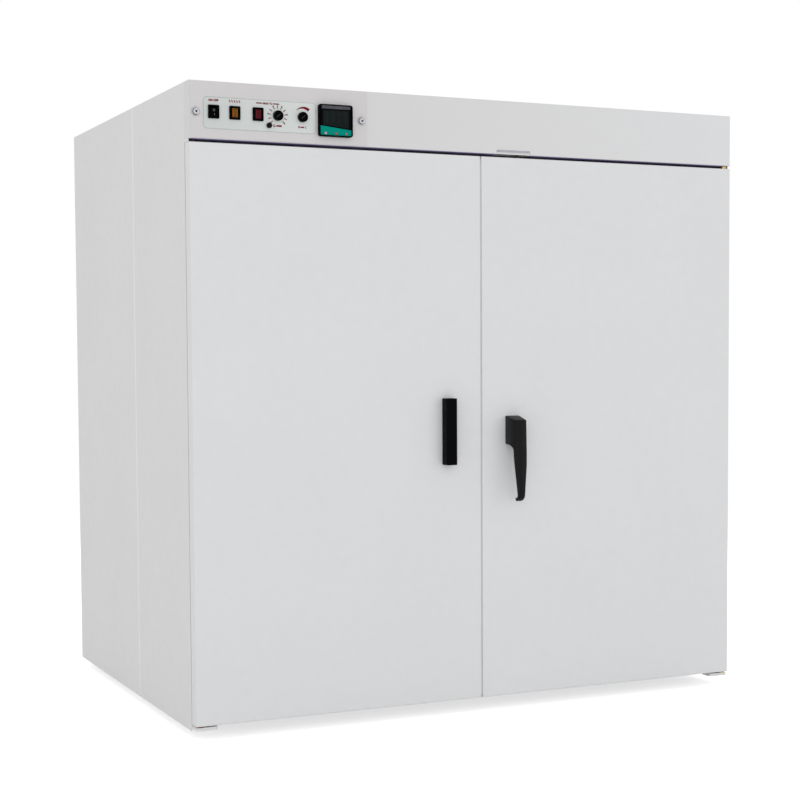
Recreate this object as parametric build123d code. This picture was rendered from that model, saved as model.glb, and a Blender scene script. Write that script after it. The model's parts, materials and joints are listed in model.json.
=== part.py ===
from build123d import *

import math
import os

# A two-door laboratory oven, in millimetres.
# +X is to the right of someone facing the doors, +Y runs from the doors to the back, +Z is up.
# The origin is on the floor under the middle of the whole object.

# Whole cabinet, the depth measured from the door faces to the rear cover
CABINET_WIDTH = 995.0
CABINET_HEIGHT = 1000.0
CABINET_DEPTH = 720.0
FOOT_HEIGHT = 15.0
PAN_RISE = 5.0
FOOT_RADIUS = 20.0
FOOT_BOTTOM_RADIUS = 17.0
FOOT_RECESS_RADIUS = 7.0
FOOT_RECESS_DEPTH = 5.0
FOOT_SIDE_INSET = 95.0
FOOT_FRONT_INSET = 145.0
FOOT_REAR_INSET = 95.0
SHEET = 1.5
LINER_SHEET = 1.0
BEND_RADIUS = 1.5
FLANGE = 15.0
RUNNING_CLEARANCE = 0.05
FREE_CLEARANCE = 0.3
OVERCUT = 1.0

# Side panels: a front and a rear one on each side, the rear one lapping behind the front one
SIDE_SEAM = 312.0
LAP_LENGTH = 14.0
LAP_CLEARANCE = 0.7
JOGGLE_LENGTH = 5.0
FRONT_RETURN = 12.0

# Rear cover
LOUVRE_LENGTH = 90.0
LOUVRE_RISE = 9.0
LOUVRE_REACH = 5.0
LOUVRE_CURVE = 11.0
LOUVRE_PITCH = 24.0
LOUVRE_ROWS = 6
LOUVRE_SIDE_INSET = 247.5
LOUVRE_TOP_INSET = 130.0
REAR_SCREWS_PER_SIDE = 5
REAR_SCREW_INSET = 8.0
SCREW_RADIUS = 2.0
SCREW_HEAD_RADIUS = 4.0
SCREW_HEAD_HEIGHT = 2.4
SCREW_DOME = 1.7
SCREW_LENGTH = 6.0
GLAND_REACH = 22.0
GLAND_RADIUS = 13.0
GLAND_NECK_RADIUS = 9.0
GLAND_DOME_RADIUS = 11.0
GLAND_BORE_RADIUS = 5.5
GLAND_STEM = 12.0
GLAND_LOCKNUT = 5.0
GLAND_SIDE_INSET = 117.5
GLAND_HEIGHT = 120.0

# Doors
DOOR_THICKNESS = 24.0
DOOR_GAP = 1.5
DOOR_BOTTOM = 11.0
DOOR_LIP = 15.0
DOOR_BACK_RADIUS = 3.0
SEAM_GAP = 2.5
FASCIA_HEIGHT = 87.3
FASCIA_GAP = 5.2
PLUG_DEPTH = 21.0
PLUG_CLEARANCE = 6.0
PLUG_SEAM_GAP = 8.0
PLUG_RADIUS = 8.0
MECHANISM_DEPTH = 16.5
CENTRE_SEAL_WIDTH = 4.0

# Hinges
HINGE_INSET = 8.0
HINGE_DEPTH = 9.0
HINGE_PIN_RADIUS = 3.0
HINGE_PIN_ENGAGEMENT = 9.0
HINGE_PLATE_WIDTH = 36.0
HINGE_PLATE_THICKNESS = 5.0
LOWER_WASHER_THICKNESS = 2.0
LOWER_WASHER_RADIUS = 6.5
UPPER_WASHER_RADIUS = 5.0
HINGE_END_PLAY = 0.2

# Insulated walls, from the outer faces to the chamber's inner faces
SIDE_WALL = 82.5
FLOOR_WALL = 82.5
ROOF_WALL = 100.2
REAR_WALL = 135.0
ROOF_INSULATION = 80.0
REAR_INSULATION = 65.0
SIDE_AIR_GAP = 8.0
FRAME_DEPTH = 20.0
FRAME_RISE = 8.0

# Door seal on the front frame
SEAL_INSET = 4.0
SEAL_WIDTH = 12.0
SEAL_CLEARANCE = 0.4

# Fan, heater and baffle behind it
PLENUM_DEPTH = 60.0
BAFFLE_MARGIN = 22.0
BAFFLE_HOLE_RADIUS = 7.0
BAFFLE_RING_HOLES = 12
BAFFLE_SLOT_LENGTH = 62.0
BAFFLE_SLOT_WIDTH = 9.0
BAFFLE_SLOTS = 7
BAFFLE_SLOT_INSET = 60.0
IMPELLER_RADIUS = 100.0
IMPELLER_WIDTH = 30.0
IMPELLER_WALL_GAP = 12.0
IMPELLER_BLADES = 10
IMPELLER_EYE_RADIUS = 62.0
IMPELLER_SHEET = 1.2
IMPELLER_HUB_RADIUS = 16.0
IMPELLER_HUB_SETBACK = 4.0
BLADE_SWEEP = 35.0
BLADE_CURVE = 80.0
FAN_SHAFT_RADIUS = 4.0
SHAFT_HOLE_RADIUS = 9.0
SHAFT_ENGAGEMENT = 30.0
SHAFT_END_CLEARANCE = 2.0
MOTOR_RADIUS = 44.0
MOTOR_LENGTH = 46.0
MOTOR_PLATE = 130.0
MOTOR_PLATE_THICKNESS = 3.0
HEATER_RADIUS = 132.0
HEATER_TUBE_RADIUS = 4.0
HEATER_LEG_SPREAD = 24.0
HEATER_BEND = 10.0
PROBE_INSET = 11.0
PROBE_RADIUS = 2.5
PROBE_REACH = 50.0
PROBE_BOSS_RADIUS = 4.5
PROBE_BOSS_LENGTH = 8.0
PROBE_HEIGHT = 440.0

# Shelves and their runners, heights above the chamber floor
SHELF_HEIGHTS = (150.0, 350.0, 550.0)
SHELF_FRONT_GAP = 5.0
RUNNER_WIDTH = 20.0
RUNNER_THICKNESS = 4.0
RUNNER_END_GAP = 20.0
LEDGE_SIZE = 15.0
LEDGE_SHEET = 1.5
SHELF_SIDE_CLEARANCE = 2.0
SHELF_REAR_CLEARANCE = 8.0
SHELF_TRAVEL = 25.0
SHELF_ROD_RADIUS = 3.0
SHELF_WIRE_RADIUS = 2.0
SHELF_WIRES = 13
SHELF_CORNER = 12.0

# Left pull and right lever, measured from the door seam and from the cabinet's underside
GRIP_HEIGHT = 457.0
PULL_INSET = 63.0
PULL_WIDTH = 19.5
PULL_LENGTH = 109.0
PULL_DEPTH = 17.0
PULL_GROOVE_RADIUS = 8.0
PULL_GROOVE_OFFSET = 6.0
PULL_END_WALL = 6.0
LEVER_INSET = 57.5
LEVER_REACH = 35.0
LEVER_BASE_WIDTH = 26.0
LEVER_FACE_WIDTH = 20.0
LEVER_TIP_WIDTH = 11.0
LEVER_HEAD_HALF_HEIGHT = 23.5
LEVER_DROP = 118.0
LEVER_TOP_FALL = 6.5
LEVER_LEAN = 4.0
LEVER_ARM = 8.0
LEVER_ARM_TIP = 5.5
LEVER_HOOK = 14.0
LEVER_HOOK_THICKNESS = 5.0
LEVER_TIP_RADIUS = 9.0
LEVER_NECK_RADIUS = 8.0
LEVER_EDGE_RADIUS = 3.0
LEVER_TURN = 90.0

# Latch behind the right door's skin
GEAR_MODULE = 1.5
PINION_TEETH = 12
PRESSURE_ANGLE = 20.0
STUB_FACTOR = 0.7
GEAR_ROOT_CLEARANCE = 0.3
GEAR_BACKLASH = 0.3
GEAR_WIDTH = 5.0
GEAR_DEPTH = 5.0
TOOTH_FOOT_SHARE = 0.9
RACK_TOOTH_FOOT = 0.5
SPINDLE_RADIUS = 5.0
SPINDLE_TAIL_RADIUS = 3.5
SPINDLE_GRIP = 16.0
ROD_WIDTH = 9.0
ROD_STAND = 5.0
HOUSING_WALL = 2.5
HOUSING_HALF_HEIGHT = 34.0
NOTCH_WIDTH = 64.0
NOTCH_OFFSET = 11.3
NOTCH_HEIGHT = 7.0
NOTCH_RADIUS = 3.0
NOTCH_DEPTH = 20.0
KEEPER_HEIGHT = 18.0

# Catch magnets on the front frame, beside the door seam
MAGNET_INSET = 90.0
MAGNET_LENGTH = 44.0
MAGNET_HEIGHT = 7.0
MAGNET_ABOVE_MOUTH = 40.0

# Control plate on the fascia, places as shares of its width from its left end,
# and down from the fascia's top
PLATE_WIDTH = 293.0
PLATE_MARGIN = 1.0
PLATE_THICKNESS = 1.5
WINDOW_MARGIN = 18.0
WINDOW_EDGE = 11.0
LABEL_START_SHARE = 0.0725
LABEL_END_SHARE = 0.703
LABEL_HEIGHT = 49.0
LABEL_DROP = 48.0
LABEL_RADIUS = 6.0
LABEL_THICKNESS = 0.4
PLATE_SCREW_INSET = 9.8
PLATE_SCREW_DROP = 47.5
PLATE_SCREW_RADIUS = 2.5
PLATE_SCREW_HEAD_RADIUS = 4.5
PLATE_SCREW_HEAD_HEIGHT = 5.0
PLATE_SCREW_SOCKET_RADIUS = 2.2
CUTOUT_RADIUS = 1.0
SWITCH_SHARE = 0.13
AMBER_SHARE = 0.2455
RED_SHARE = 0.374
SWITCH_DROP = 46.5
BEZEL_WIDTH = 17.5
BEZEL_HEIGHT = 20.5
BEZEL_PROUD = 2.0
BEZEL_RADIUS = 1.5
BEZEL_WALL = 2.6
LAMP_SIDE_WALL = 4.4
LAMP_END_WALL = 3.5
BEZEL_BODY_DEPTH = 24.0
BEZEL_FLOOR = 3.0
LENS_PROUD = 1.2
ROCKER_TILT = 8.0
ROCKER_CLEARANCE = 0.4
ROCKER_END_CLEARANCE = 1.2
ROCKER_PIVOT_DEPTH = 6.0
ROCKER_ROOT_RADIUS = 3.0
ROCKER_END_PROUD = 0.6
ROCKER_SKIRT = 2.5
ROCKER_DISH = 0.8
KNOB_RADIUS = 7.8
KNOB_HEIGHT = 6.0
KNOB_SLOT_WIDTH = 1.6
KNOB_SLOT_DEPTH = 1.2
KNOB_SLOT_ANGLE = 40.0
SPINDLE_PIN_RADIUS = 3.0
THERMOSTAT_SHARE = 0.484
THERMOSTAT_DROP = 47.0
THERMOSTAT_SIZE = 42.0
THERMOSTAT_DEPTH = 32.0
THERMOSTAT_CHAMFER = 3.0
THERMOSTAT_BORE_DEPTH = 12.0
RESET_OFFSET_X = -14.2
RESET_OFFSET_Z = -15.5
RESET_RADIUS = 4.2
RESET_PROUD = 4.0
RESET_TRAVEL = 2.5
VENT_SHARE = 0.6235
VENT_DROP = 47.0
CONTROLLER_SHARE = 0.81
CONTROLLER_DROP = 50.0
CONTROLLER_WIDTH = 57.0
CONTROLLER_HEIGHT = 50.0
CONTROLLER_PROUD = 7.0
CONTROLLER_RADIUS = 4.0
CONTROLLER_BODY = 44.0
CONTROLLER_BODY_DEPTH = 80.0
CONTROLLER_RIM = 2.0
CONTROLLER_TOP_RIM = 9.0
CONTROLLER_FACE_DEPTH = 1.6
CONTROLLER_WINDOW_THICKNESS = 1.0
CONTROLLER_WINDOW_INSET = 3.0
KEY_BAND_LEFT_HEIGHT = 18.0
KEY_BAND_RIGHT_HEIGHT = 12.0
KEY_HEIGHT = 5.0
KEY_RADIUS = 1.9
KEY_PITCH = 17.5
KEY_PROUD = 1.2
KEY_TRAVEL = 0.8
KEY_DEPTH = 4.0
KEY_END_GAP = 0.5

# Vent duct up through the roof, its damper turned by the vent knob
DUCT_SETBACK = 150.0
DUCT_RADIUS = 22.0
DUCT_WALL = 1.5
DUCT_RISE = 6.0
DUCT_COLLAR_RADIUS = 32.0
DAMPER_CLEARANCE = 0.6
DAMPER_THICKNESS = 1.5
DAMPER_TAIL = 5.0

# Heater relay on the cabinet's compartment floor
RELAY_SIDE_INSET = 247.5
RELAY_SETBACK = 220.0
RELAY_LENGTH = 58.0
RELAY_WIDTH = 45.0
RELAY_HEIGHT = 24.0
RELAY_FINS = 6
RELAY_FIN_HEIGHT = 20.0
RELAY_FIN_THICKNESS = 2.0

# Places worked out from the sizes above
LEFT = -CABINET_WIDTH / 2
RIGHT = CABINET_WIDTH / 2
OVERALL_DEPTH = LEVER_REACH + CABINET_DEPTH + GLAND_REACH
FRONT = LEVER_REACH - OVERALL_DEPTH / 2
BACK = FRONT + CABINET_DEPTH
BASE = FOOT_HEIGHT
TOP = BASE + CABINET_HEIGHT
PAN_LOW = BASE + PAN_RISE
PAN_TOP = PAN_LOW + SHEET
FASCIA_BOTTOM = TOP - FASCIA_HEIGHT
DOOR_LOW = BASE + DOOR_BOTTOM
DOOR_HIGH = FASCIA_BOTTOM - FASCIA_GAP
DOOR_BACK = FRONT + DOOR_THICKNESS
BODY_FRONT = DOOR_BACK + DOOR_GAP
FRAME_FRONT = BODY_FRONT + SHEET
FRAME_BACK = FRAME_FRONT + FRAME_DEPTH
FRAME_TOP = FASCIA_BOTTOM + FRAME_RISE
SEAM_Y = FRONT + SIDE_SEAM
CHAMBER_HALF = CABINET_WIDTH / 2 - SIDE_WALL
CHAMBER_LOW = BASE + FLOOR_WALL
CHAMBER_HIGH = FASCIA_BOTTOM - ROOF_WALL
CHAMBER_BACK = BACK - REAR_WALL
CHAMBER_MIDDLE = (CHAMBER_LOW + CHAMBER_HIGH) / 2
BAFFLE_FRONT = CHAMBER_BACK - PLENUM_DEPTH
PROBE_X = CHAMBER_HALF - PROBE_INSET
SLAB_BACK = CHAMBER_BACK + LINER_SHEET + REAR_INSULATION
SLAB_TOP = CHAMBER_HIGH + LINER_SHEET + ROOF_INSULATION
HINGE_X = RIGHT - HINGE_INSET
HINGE_Y = FRONT + HINGE_DEPTH
HINGE_PLATE_TOP = DOOR_LOW - HINGE_END_PLAY - LOWER_WASHER_THICKNESS
GRIP_Z = BASE + GRIP_HEIGHT
GLAND_X = RIGHT - GLAND_SIDE_INSET
LOUVRE_COLUMN_X = RIGHT - LOUVRE_SIDE_INSET
RELAY_X = RIGHT - RELAY_SIDE_INSET
PITCH_RADIUS = GEAR_MODULE * PINION_TEETH / 2
ADDENDUM = STUB_FACTOR * GEAR_MODULE
DEDENDUM = ADDENDUM + GEAR_ROOT_CLEARANCE
ROD_TRAVEL = PITCH_RADIUS * math.radians(LEVER_TURN)
ROD_LEFT = LEVER_INSET + PITCH_RADIUS + DEDENDUM
ROD_RIGHT = ROD_LEFT + ROD_WIDTH
GEAR_FRONT = FRONT + GEAR_DEPTH
GEAR_BACK = GEAR_FRONT + GEAR_WIDTH
PLUG_BACK = DOOR_BACK + PLUG_DEPTH
RUNNER_FRONT = PLUG_BACK + SHELF_FRONT_GAP + SHELF_TRAVEL
DUCT_Y = FRONT + DUCT_SETBACK
SWITCH_X = LEFT + PLATE_WIDTH * SWITCH_SHARE
AMBER_X = LEFT + PLATE_WIDTH * AMBER_SHARE
RED_X = LEFT + PLATE_WIDTH * RED_SHARE
THERMOSTAT_X = LEFT + PLATE_WIDTH * THERMOSTAT_SHARE
VENT_X = LEFT + PLATE_WIDTH * VENT_SHARE
CONTROLLER_X = LEFT + PLATE_WIDTH * CONTROLLER_SHARE
PLATE_FRONT = FRONT - PLATE_THICKNESS
LABEL_FRONT = PLATE_FRONT - LABEL_THICKNESS


def block(x, y, z):
    """A box between a low and a high value on each axis."""
    centre = Pos((x[0] + x[1]) / 2, (y[0] + y[1]) / 2, (z[0] + z[1]) / 2)
    return centre * Box(x[1] - x[0], y[1] - y[0], z[1] - z[0])


def bar_x(y, z, x, radius):
    """A round bar along X between two X values."""
    start = Plane(origin=(x[0], y, z), z_dir=(1, 0, 0))
    return Part() + Solid.make_cylinder(radius, x[1] - x[0], start)


def bar_y(x, z, y, radius):
    """A round bar along Y between two Y values."""
    start = Plane(origin=(x, y[0], z), z_dir=(0, 1, 0))
    return Part() + Solid.make_cylinder(radius, y[1] - y[0], start)


def bar_z(x, y, z, radius):
    """A round bar along Z between two Z values."""
    return Part() + Solid.make_cylinder(radius, z[1] - z[0], Plane(origin=(x, y, z[0])))


def front_plate(outline, y):
    """An outline drawn in X and Z, as thick as the low and high Y values say."""
    back = Plane(origin=(0, y[1], 0), x_dir=(1, 0, 0), z_dir=(0, -1, 0))
    return extrude(back * outline, y[1] - y[0])


def side_plate(outline, x):
    """An outline drawn in Y and Z, as wide as the low and high X values say."""
    left = Plane(origin=(x[0], 0, 0), x_dir=(0, 1, 0), z_dir=(1, 0, 0))
    return extrude(left * outline, x[1] - x[0])


def plan_plate(outline, z):
    """An outline drawn in X and Y, as tall as the low and high Z values say."""
    return extrude(Plane(origin=(0, 0, z[0])) * outline, z[1] - z[0])


def rounded(x, z, radius):
    """A rounded rectangle in X and Z."""
    centre = Pos((x[0] + x[1]) / 2, (z[0] + z[1]) / 2)
    return centre * RectangleRounded(x[1] - x[0], z[1] - z[0], radius)


def rounded_outline(corners):
    """A closed outline through corners, each with its own rounding radius, zero for a sharp one."""
    outline = make_face(Polyline(*[point for point, radius in corners], close=True))
    for point, radius in corners:
        if radius > 0:
            corner = outline.vertices().sort_by_distance((*point, 0))[0]
            outline = fillet(corner, radius)
    return outline


def channel(x, z):
    """A frame member folded from sheet and open to the back."""
    outer = block(x, (FRAME_FRONT, FRAME_BACK), z)
    inside_x = (x[0] + SHEET, x[1] - SHEET)
    inside_z = (z[0] + SHEET, z[1] - SHEET)
    return outer - block(inside_x, (FRAME_FRONT + SHEET, FRAME_BACK + SHEET), inside_z)


def mirrored(shape):
    """The same shape on the other side of the cabinet."""
    return mirror(shape, about=Plane.YZ)


# Cabinet shell


def make_base_pan():
    """The floor sheet, with a raised lip at the back and one inside each side panel."""
    lip = (PAN_LOW, PAN_LOW + FLANGE)
    lip_x = LEFT + SIDE_AIR_GAP - SHEET
    pan = block((LEFT + SHEET, RIGHT - SHEET), (FRAME_FRONT, BACK - SHEET), (PAN_LOW, PAN_TOP))
    pan += block((LEFT + FLANGE + SHEET, RIGHT - FLANGE - SHEET), (BACK - 2 * SHEET, BACK - SHEET), lip)
    side_lip = block((lip_x, lip_x + SHEET), (FRAME_BACK, BACK - FLANGE), lip)
    return pan + side_lip + mirrored(side_lip)


def make_feet():
    """Four tapered rubber feet, each with a recess for its screw."""
    profile = make_face(
        Polyline(
            (0, FOOT_RECESS_DEPTH),
            (FOOT_RECESS_RADIUS, FOOT_RECESS_DEPTH),
            (FOOT_RECESS_RADIUS, 0),
            (FOOT_BOTTOM_RADIUS, 0),
            (FOOT_RADIUS, PAN_LOW),
            (0, PAN_LOW),
            close=True,
        )
    )
    foot = revolve(Plane.XZ * profile, Axis.Z)
    feet = []
    for x in (LEFT + FOOT_SIDE_INSET, RIGHT - FOOT_SIDE_INSET):
        for y in (FRONT + FOOT_FRONT_INSET, BACK - FOOT_REAR_INSET):
            feet.append(Pos(x, y, 0) * foot)
    return feet


def make_front_side_panel():
    """The left front side panel, folded round the cabinet's front corner beside the door."""
    sheet = block((LEFT, LEFT + SHEET), (BODY_FRONT, SEAM_Y), (BASE, TOP))
    fold_low = HINGE_PLATE_TOP + FREE_CLEARANCE
    fold = block((LEFT, LEFT + FRONT_RETURN), (BODY_FRONT, FRAME_FRONT), (fold_low, DOOR_HIGH))
    return sheet + fold


def make_rear_side_panel():
    """The left rear side panel, joggled inwards so that its front edge laps behind the front panel."""
    step = SHEET + LAP_CLEARANCE
    inner_z = (PAN_TOP, TOP - SHEET)
    bend = make_face(
        Polyline(
            (LEFT + step, SEAM_Y),
            (LEFT, SEAM_Y + JOGGLE_LENGTH),
            (LEFT + SHEET, SEAM_Y + JOGGLE_LENGTH),
            (LEFT + step + SHEET, SEAM_Y),
            close=True,
        )
    )
    panel = block((LEFT, LEFT + SHEET), (SEAM_Y + JOGGLE_LENGTH, BACK - SHEET), (BASE, TOP))
    panel += plan_plate(bend, inner_z)
    panel += block((LEFT + step, LEFT + step + SHEET), (SEAM_Y - LAP_LENGTH, SEAM_Y), inner_z)
    panel += block((LEFT, LEFT + FLANGE), (BACK - 2 * SHEET, BACK - SHEET), inner_z)
    screw_x = LEFT + REAR_SCREW_INSET
    for z in rear_screw_heights():
        panel -= bar_y(screw_x, z, (BACK - 3 * SHEET, BACK), SCREW_RADIUS + RUNNING_CLEARANCE)
    return panel


def make_top_cover():
    """The top sheet, with lips turned down at the back and sides and a hole for the vent duct."""
    lip = (TOP - FLANGE, TOP)
    lip_x = LEFT + SIDE_AIR_GAP - SHEET
    cover = block((LEFT + SHEET, RIGHT - SHEET), (BODY_FRONT, BACK - SHEET), (TOP - SHEET, TOP))
    back_lip_x = (LEFT + FLANGE + SHEET, RIGHT - FLANGE - SHEET)
    cover += block(back_lip_x, (BACK - 2 * SHEET, BACK - SHEET), lip)
    side_lip = block((lip_x, lip_x + SHEET), (FRAME_BACK, BACK - FLANGE), lip)
    cover += side_lip + mirrored(side_lip)
    return cover - bar_z(VENT_X, DUCT_Y, (TOP - FLANGE, TOP + SHEET), DUCT_RADIUS + FREE_CLEARANCE)


def rear_screw_heights():
    """Heights of the rear cover's screws, the same on both sides."""
    low = BASE + 2 * FLANGE
    high = TOP - 2 * FLANGE
    step = (high - low) / (REAR_SCREWS_PER_SIDE - 1)
    return [low + step * index for index in range(REAR_SCREWS_PER_SIDE)]


def make_louvre():
    """One pressed hood, open at its lower edge, centred on X and with its top at Z zero."""
    hood = make_face(
        Polyline((BACK - SHEET, 0), (BACK, 0))
        + RadiusArc((BACK, 0), (BACK + LOUVRE_REACH, -LOUVRE_RISE), -LOUVRE_CURVE)
        + Polyline((BACK + LOUVRE_REACH, -LOUVRE_RISE), (BACK - SHEET, -LOUVRE_RISE), (BACK - SHEET, 0))
    )
    solid = side_plate(hood, (-LOUVRE_LENGTH / 2, LOUVRE_LENGTH / 2))
    hollow = make_face(
        Polyline(
            (BACK - 2 * SHEET, -SHEET),
            (BACK, -SHEET),
            (BACK + LOUVRE_REACH - SHEET, -LOUVRE_RISE),
            (BACK + LOUVRE_REACH - SHEET, -2 * LOUVRE_RISE),
            (BACK, -2 * LOUVRE_RISE),
            (BACK, -LOUVRE_RISE),
            (BACK - 2 * SHEET, -LOUVRE_RISE),
            close=True,
        )
    )
    inside = side_plate(hollow, (SHEET - LOUVRE_LENGTH / 2, LOUVRE_LENGTH / 2 - SHEET))
    return solid, inside


def make_rear_cover():
    """The rear sheet with two columns of louvres, its screw holes and the gland's hole."""
    cover = block((LEFT, RIGHT), (BACK - SHEET, BACK), (BASE, TOP))
    solid, inside = make_louvre()
    for column in (-LOUVRE_COLUMN_X, LOUVRE_COLUMN_X):
        for row in range(LOUVRE_ROWS):
            place = Pos(column, 0, TOP - LOUVRE_TOP_INSET - row * LOUVRE_PITCH)
            cover = cover + place * solid - place * inside
    for x in (LEFT + REAR_SCREW_INSET, RIGHT - REAR_SCREW_INSET):
        for z in rear_screw_heights():
            cover -= bar_y(x, z, (BACK - 2 * SHEET, BACK + SHEET), SCREW_RADIUS + FREE_CLEARANCE)
    gland_z = BASE + GLAND_HEIGHT
    return cover - bar_y(GLAND_X, gland_z, (BACK - 2 * SHEET, BACK + SHEET), GLAND_NECK_RADIUS)


def make_rear_cover_screws():
    """Domed screws that hold the rear cover to the side panels' flanges."""
    head = bar_y(0, 0, (0, SCREW_HEAD_HEIGHT), SCREW_HEAD_RADIUS)
    head = fillet(head.edges().group_by(Axis.Y)[-1], SCREW_DOME)
    screw = head + bar_y(0, 0, (-SCREW_LENGTH, 0), SCREW_RADIUS)
    screws = []
    for x in (LEFT + REAR_SCREW_INSET, RIGHT - REAR_SCREW_INSET):
        for z in rear_screw_heights():
            screws.append(Pos(x, BACK, z) * screw)
    return screws


def make_cable_gland():
    """A gland with a hexagonal body and a domed nut, clamped in the rear cover, its bore open."""
    z = BASE + GLAND_HEIGHT
    hexagon = Pos(GLAND_X, z) * RegularPolygon(GLAND_RADIUS, 6)
    flats = front_plate(hexagon, (BACK, BACK + GLAND_REACH / 3))
    locknut = front_plate(hexagon, (BACK - SHEET - GLAND_LOCKNUT, BACK - SHEET))
    stem = bar_y(GLAND_X, z, (BACK - GLAND_STEM, BACK + GLAND_REACH), GLAND_NECK_RADIUS)
    dome = bar_y(GLAND_X, z, (BACK + GLAND_REACH / 3, BACK + GLAND_REACH), GLAND_DOME_RADIUS)
    dome = chamfer(dome.edges().group_by(Axis.Y)[-1], GLAND_REACH / 8)
    bore_y = (BACK - GLAND_STEM - OVERCUT, BACK + GLAND_REACH + OVERCUT)
    bore = bar_y(GLAND_X, z, bore_y, GLAND_BORE_RADIUS)
    return flats + locknut + stem + dome - bore


def make_front_frame():
    """Two stiles and two rails round the chamber's mouth, each folded from sheet."""
    mouth = CHAMBER_HALF + LINER_SHEET
    frame_low = PAN_TOP
    stile = channel((mouth, RIGHT - SHEET), (frame_low, FRAME_TOP))
    top_rail = channel((-mouth, mouth), (CHAMBER_HIGH + LINER_SHEET, FRAME_TOP))
    bottom_rail = channel((-mouth, mouth), (frame_low, CHAMBER_LOW - LINER_SHEET))
    return [stile, mirrored(stile), top_rail, bottom_rail]


def make_fascia():
    """The folded control strip above the doors, and the keeper behind its notch over the latch."""
    body = block((LEFT, RIGHT), (FRONT, BODY_FRONT), (FASCIA_BOTTOM, TOP))
    front_face = body.faces().sort_by(Axis.Y)[0]
    body = fillet(front_face.edges(), BEND_RADIUS)
    inside_x = (LEFT + SHEET, RIGHT - SHEET)
    body -= block(inside_x, (FRONT + SHEET, BODY_FRONT + SHEET), (FASCIA_BOTTOM + SHEET, TOP - SHEET))
    body += block(inside_x, (BODY_FRONT - SHEET, FRAME_FRONT), (FASCIA_BOTTOM, FASCIA_BOTTOM + SHEET))
    notch_middle = (ROD_LEFT + ROD_RIGHT) / 2 - NOTCH_OFFSET
    notch_x = (notch_middle - NOTCH_WIDTH / 2, notch_middle + NOTCH_WIDTH / 2)
    notch = rounded(notch_x, (FASCIA_BOTTOM - NOTCH_HEIGHT, FASCIA_BOTTOM + NOTCH_HEIGHT), NOTCH_RADIUS)
    body -= front_plate(notch, (FRONT - SHEET, FRONT + NOTCH_DEPTH))
    window_x = (LEFT + WINDOW_MARGIN, LEFT + PLATE_WIDTH - WINDOW_MARGIN)
    window_z = (FASCIA_BOTTOM + WINDOW_EDGE, TOP - WINDOW_EDGE)
    body -= block(window_x, (FRONT - SHEET, FRONT + 2 * SHEET), window_z)
    screw_hole = PLATE_SCREW_RADIUS + RUNNING_CLEARANCE
    for x in plate_screw_places():
        body -= bar_y(x, TOP - PLATE_SCREW_DROP, (FRONT - SHEET, FRONT + 2 * SHEET), screw_hole)
    pin_hole = HINGE_PIN_RADIUS + RUNNING_CLEARANCE
    for x in (-HINGE_X, HINGE_X):
        body -= bar_z(x, HINGE_Y, (FASCIA_BOTTOM - SHEET, FASCIA_BOTTOM + 2 * SHEET), pin_hole)
    keeper_x = (notch_x[0] + FREE_CLEARANCE, notch_x[1] - FREE_CLEARANCE)
    keeper_y = (FRONT + SHEET, FRONT + 2 * SHEET)
    return [body, block(keeper_x, keeper_y, (FASCIA_BOTTOM, FASCIA_BOTTOM + KEEPER_HEIGHT))]


# Hinges and catches


def make_hinge_plates():
    """A lower plate under each door and an upper plate inside the fascia, welded to the frame."""
    plates = []
    outer = RIGHT - SHEET
    for low in (HINGE_PLATE_TOP - HINGE_PLATE_THICKNESS, FASCIA_BOTTOM + SHEET):
        span = (FRONT + 2 * SHEET, FRAME_FRONT)
        plate = block((RIGHT - HINGE_PLATE_WIDTH, outer), span, (low, low + HINGE_PLATE_THICKNESS))
        inner_edge = plate.edges().filter_by(Axis.Z).group_by(Axis.Y)[0].sort_by(Axis.X)[0]
        plate = fillet(inner_edge, HINGE_PLATE_THICKNESS)
        bore_z = (low - SHEET, low + HINGE_PLATE_THICKNESS + SHEET)
        plate -= bar_z(HINGE_X, HINGE_Y, bore_z, HINGE_PIN_RADIUS)
        plates += [plate, mirrored(plate)]
    return plates


def make_hinge_pins():
    """A pin pressed in each hinge plate, running in the door skin's flange."""
    pins = []
    lower_end = HINGE_PLATE_TOP - HINGE_PLATE_THICKNESS
    upper_end = FASCIA_BOTTOM + SHEET + HINGE_PLATE_THICKNESS
    lower = (lower_end, DOOR_LOW + HINGE_PIN_ENGAGEMENT)
    upper = (DOOR_HIGH - HINGE_PIN_ENGAGEMENT, upper_end)
    for low, high in (lower, upper):
        pin = bar_z(HINGE_X, HINGE_Y, (low, high), HINGE_PIN_RADIUS)
        pins += [pin, mirrored(pin)]
    return pins


def make_hinge_washers():
    """A thin washer under each door and a tall one between each door and the fascia."""
    washers = []
    lower = (HINGE_PLATE_TOP, HINGE_PLATE_TOP + LOWER_WASHER_THICKNESS, LOWER_WASHER_RADIUS)
    upper = (DOOR_HIGH + HINGE_END_PLAY, FASCIA_BOTTOM, UPPER_WASHER_RADIUS)
    for low, high, radius in (lower, upper):
        ring = bar_z(HINGE_X, HINGE_Y, (low, high), radius)
        bore_radius = HINGE_PIN_RADIUS + RUNNING_CLEARANCE
        ring -= bar_z(HINGE_X, HINGE_Y, (low - SHEET, high + SHEET), bore_radius)
        washers += [ring, mirrored(ring)]
    return washers


def make_catch_magnets():
    """A magnet above the chamber's mouth for each door, on the frame's face."""
    low = CHAMBER_HIGH + MAGNET_ABOVE_MOUTH
    x = (MAGNET_INSET, MAGNET_INSET + MAGNET_LENGTH)
    magnet = block(x, (DOOR_BACK - SHEET + SEAL_CLEARANCE, FRAME_FRONT), (low, low + MAGNET_HEIGHT))
    return [magnet, mirrored(magnet)]


# Chamber


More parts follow.
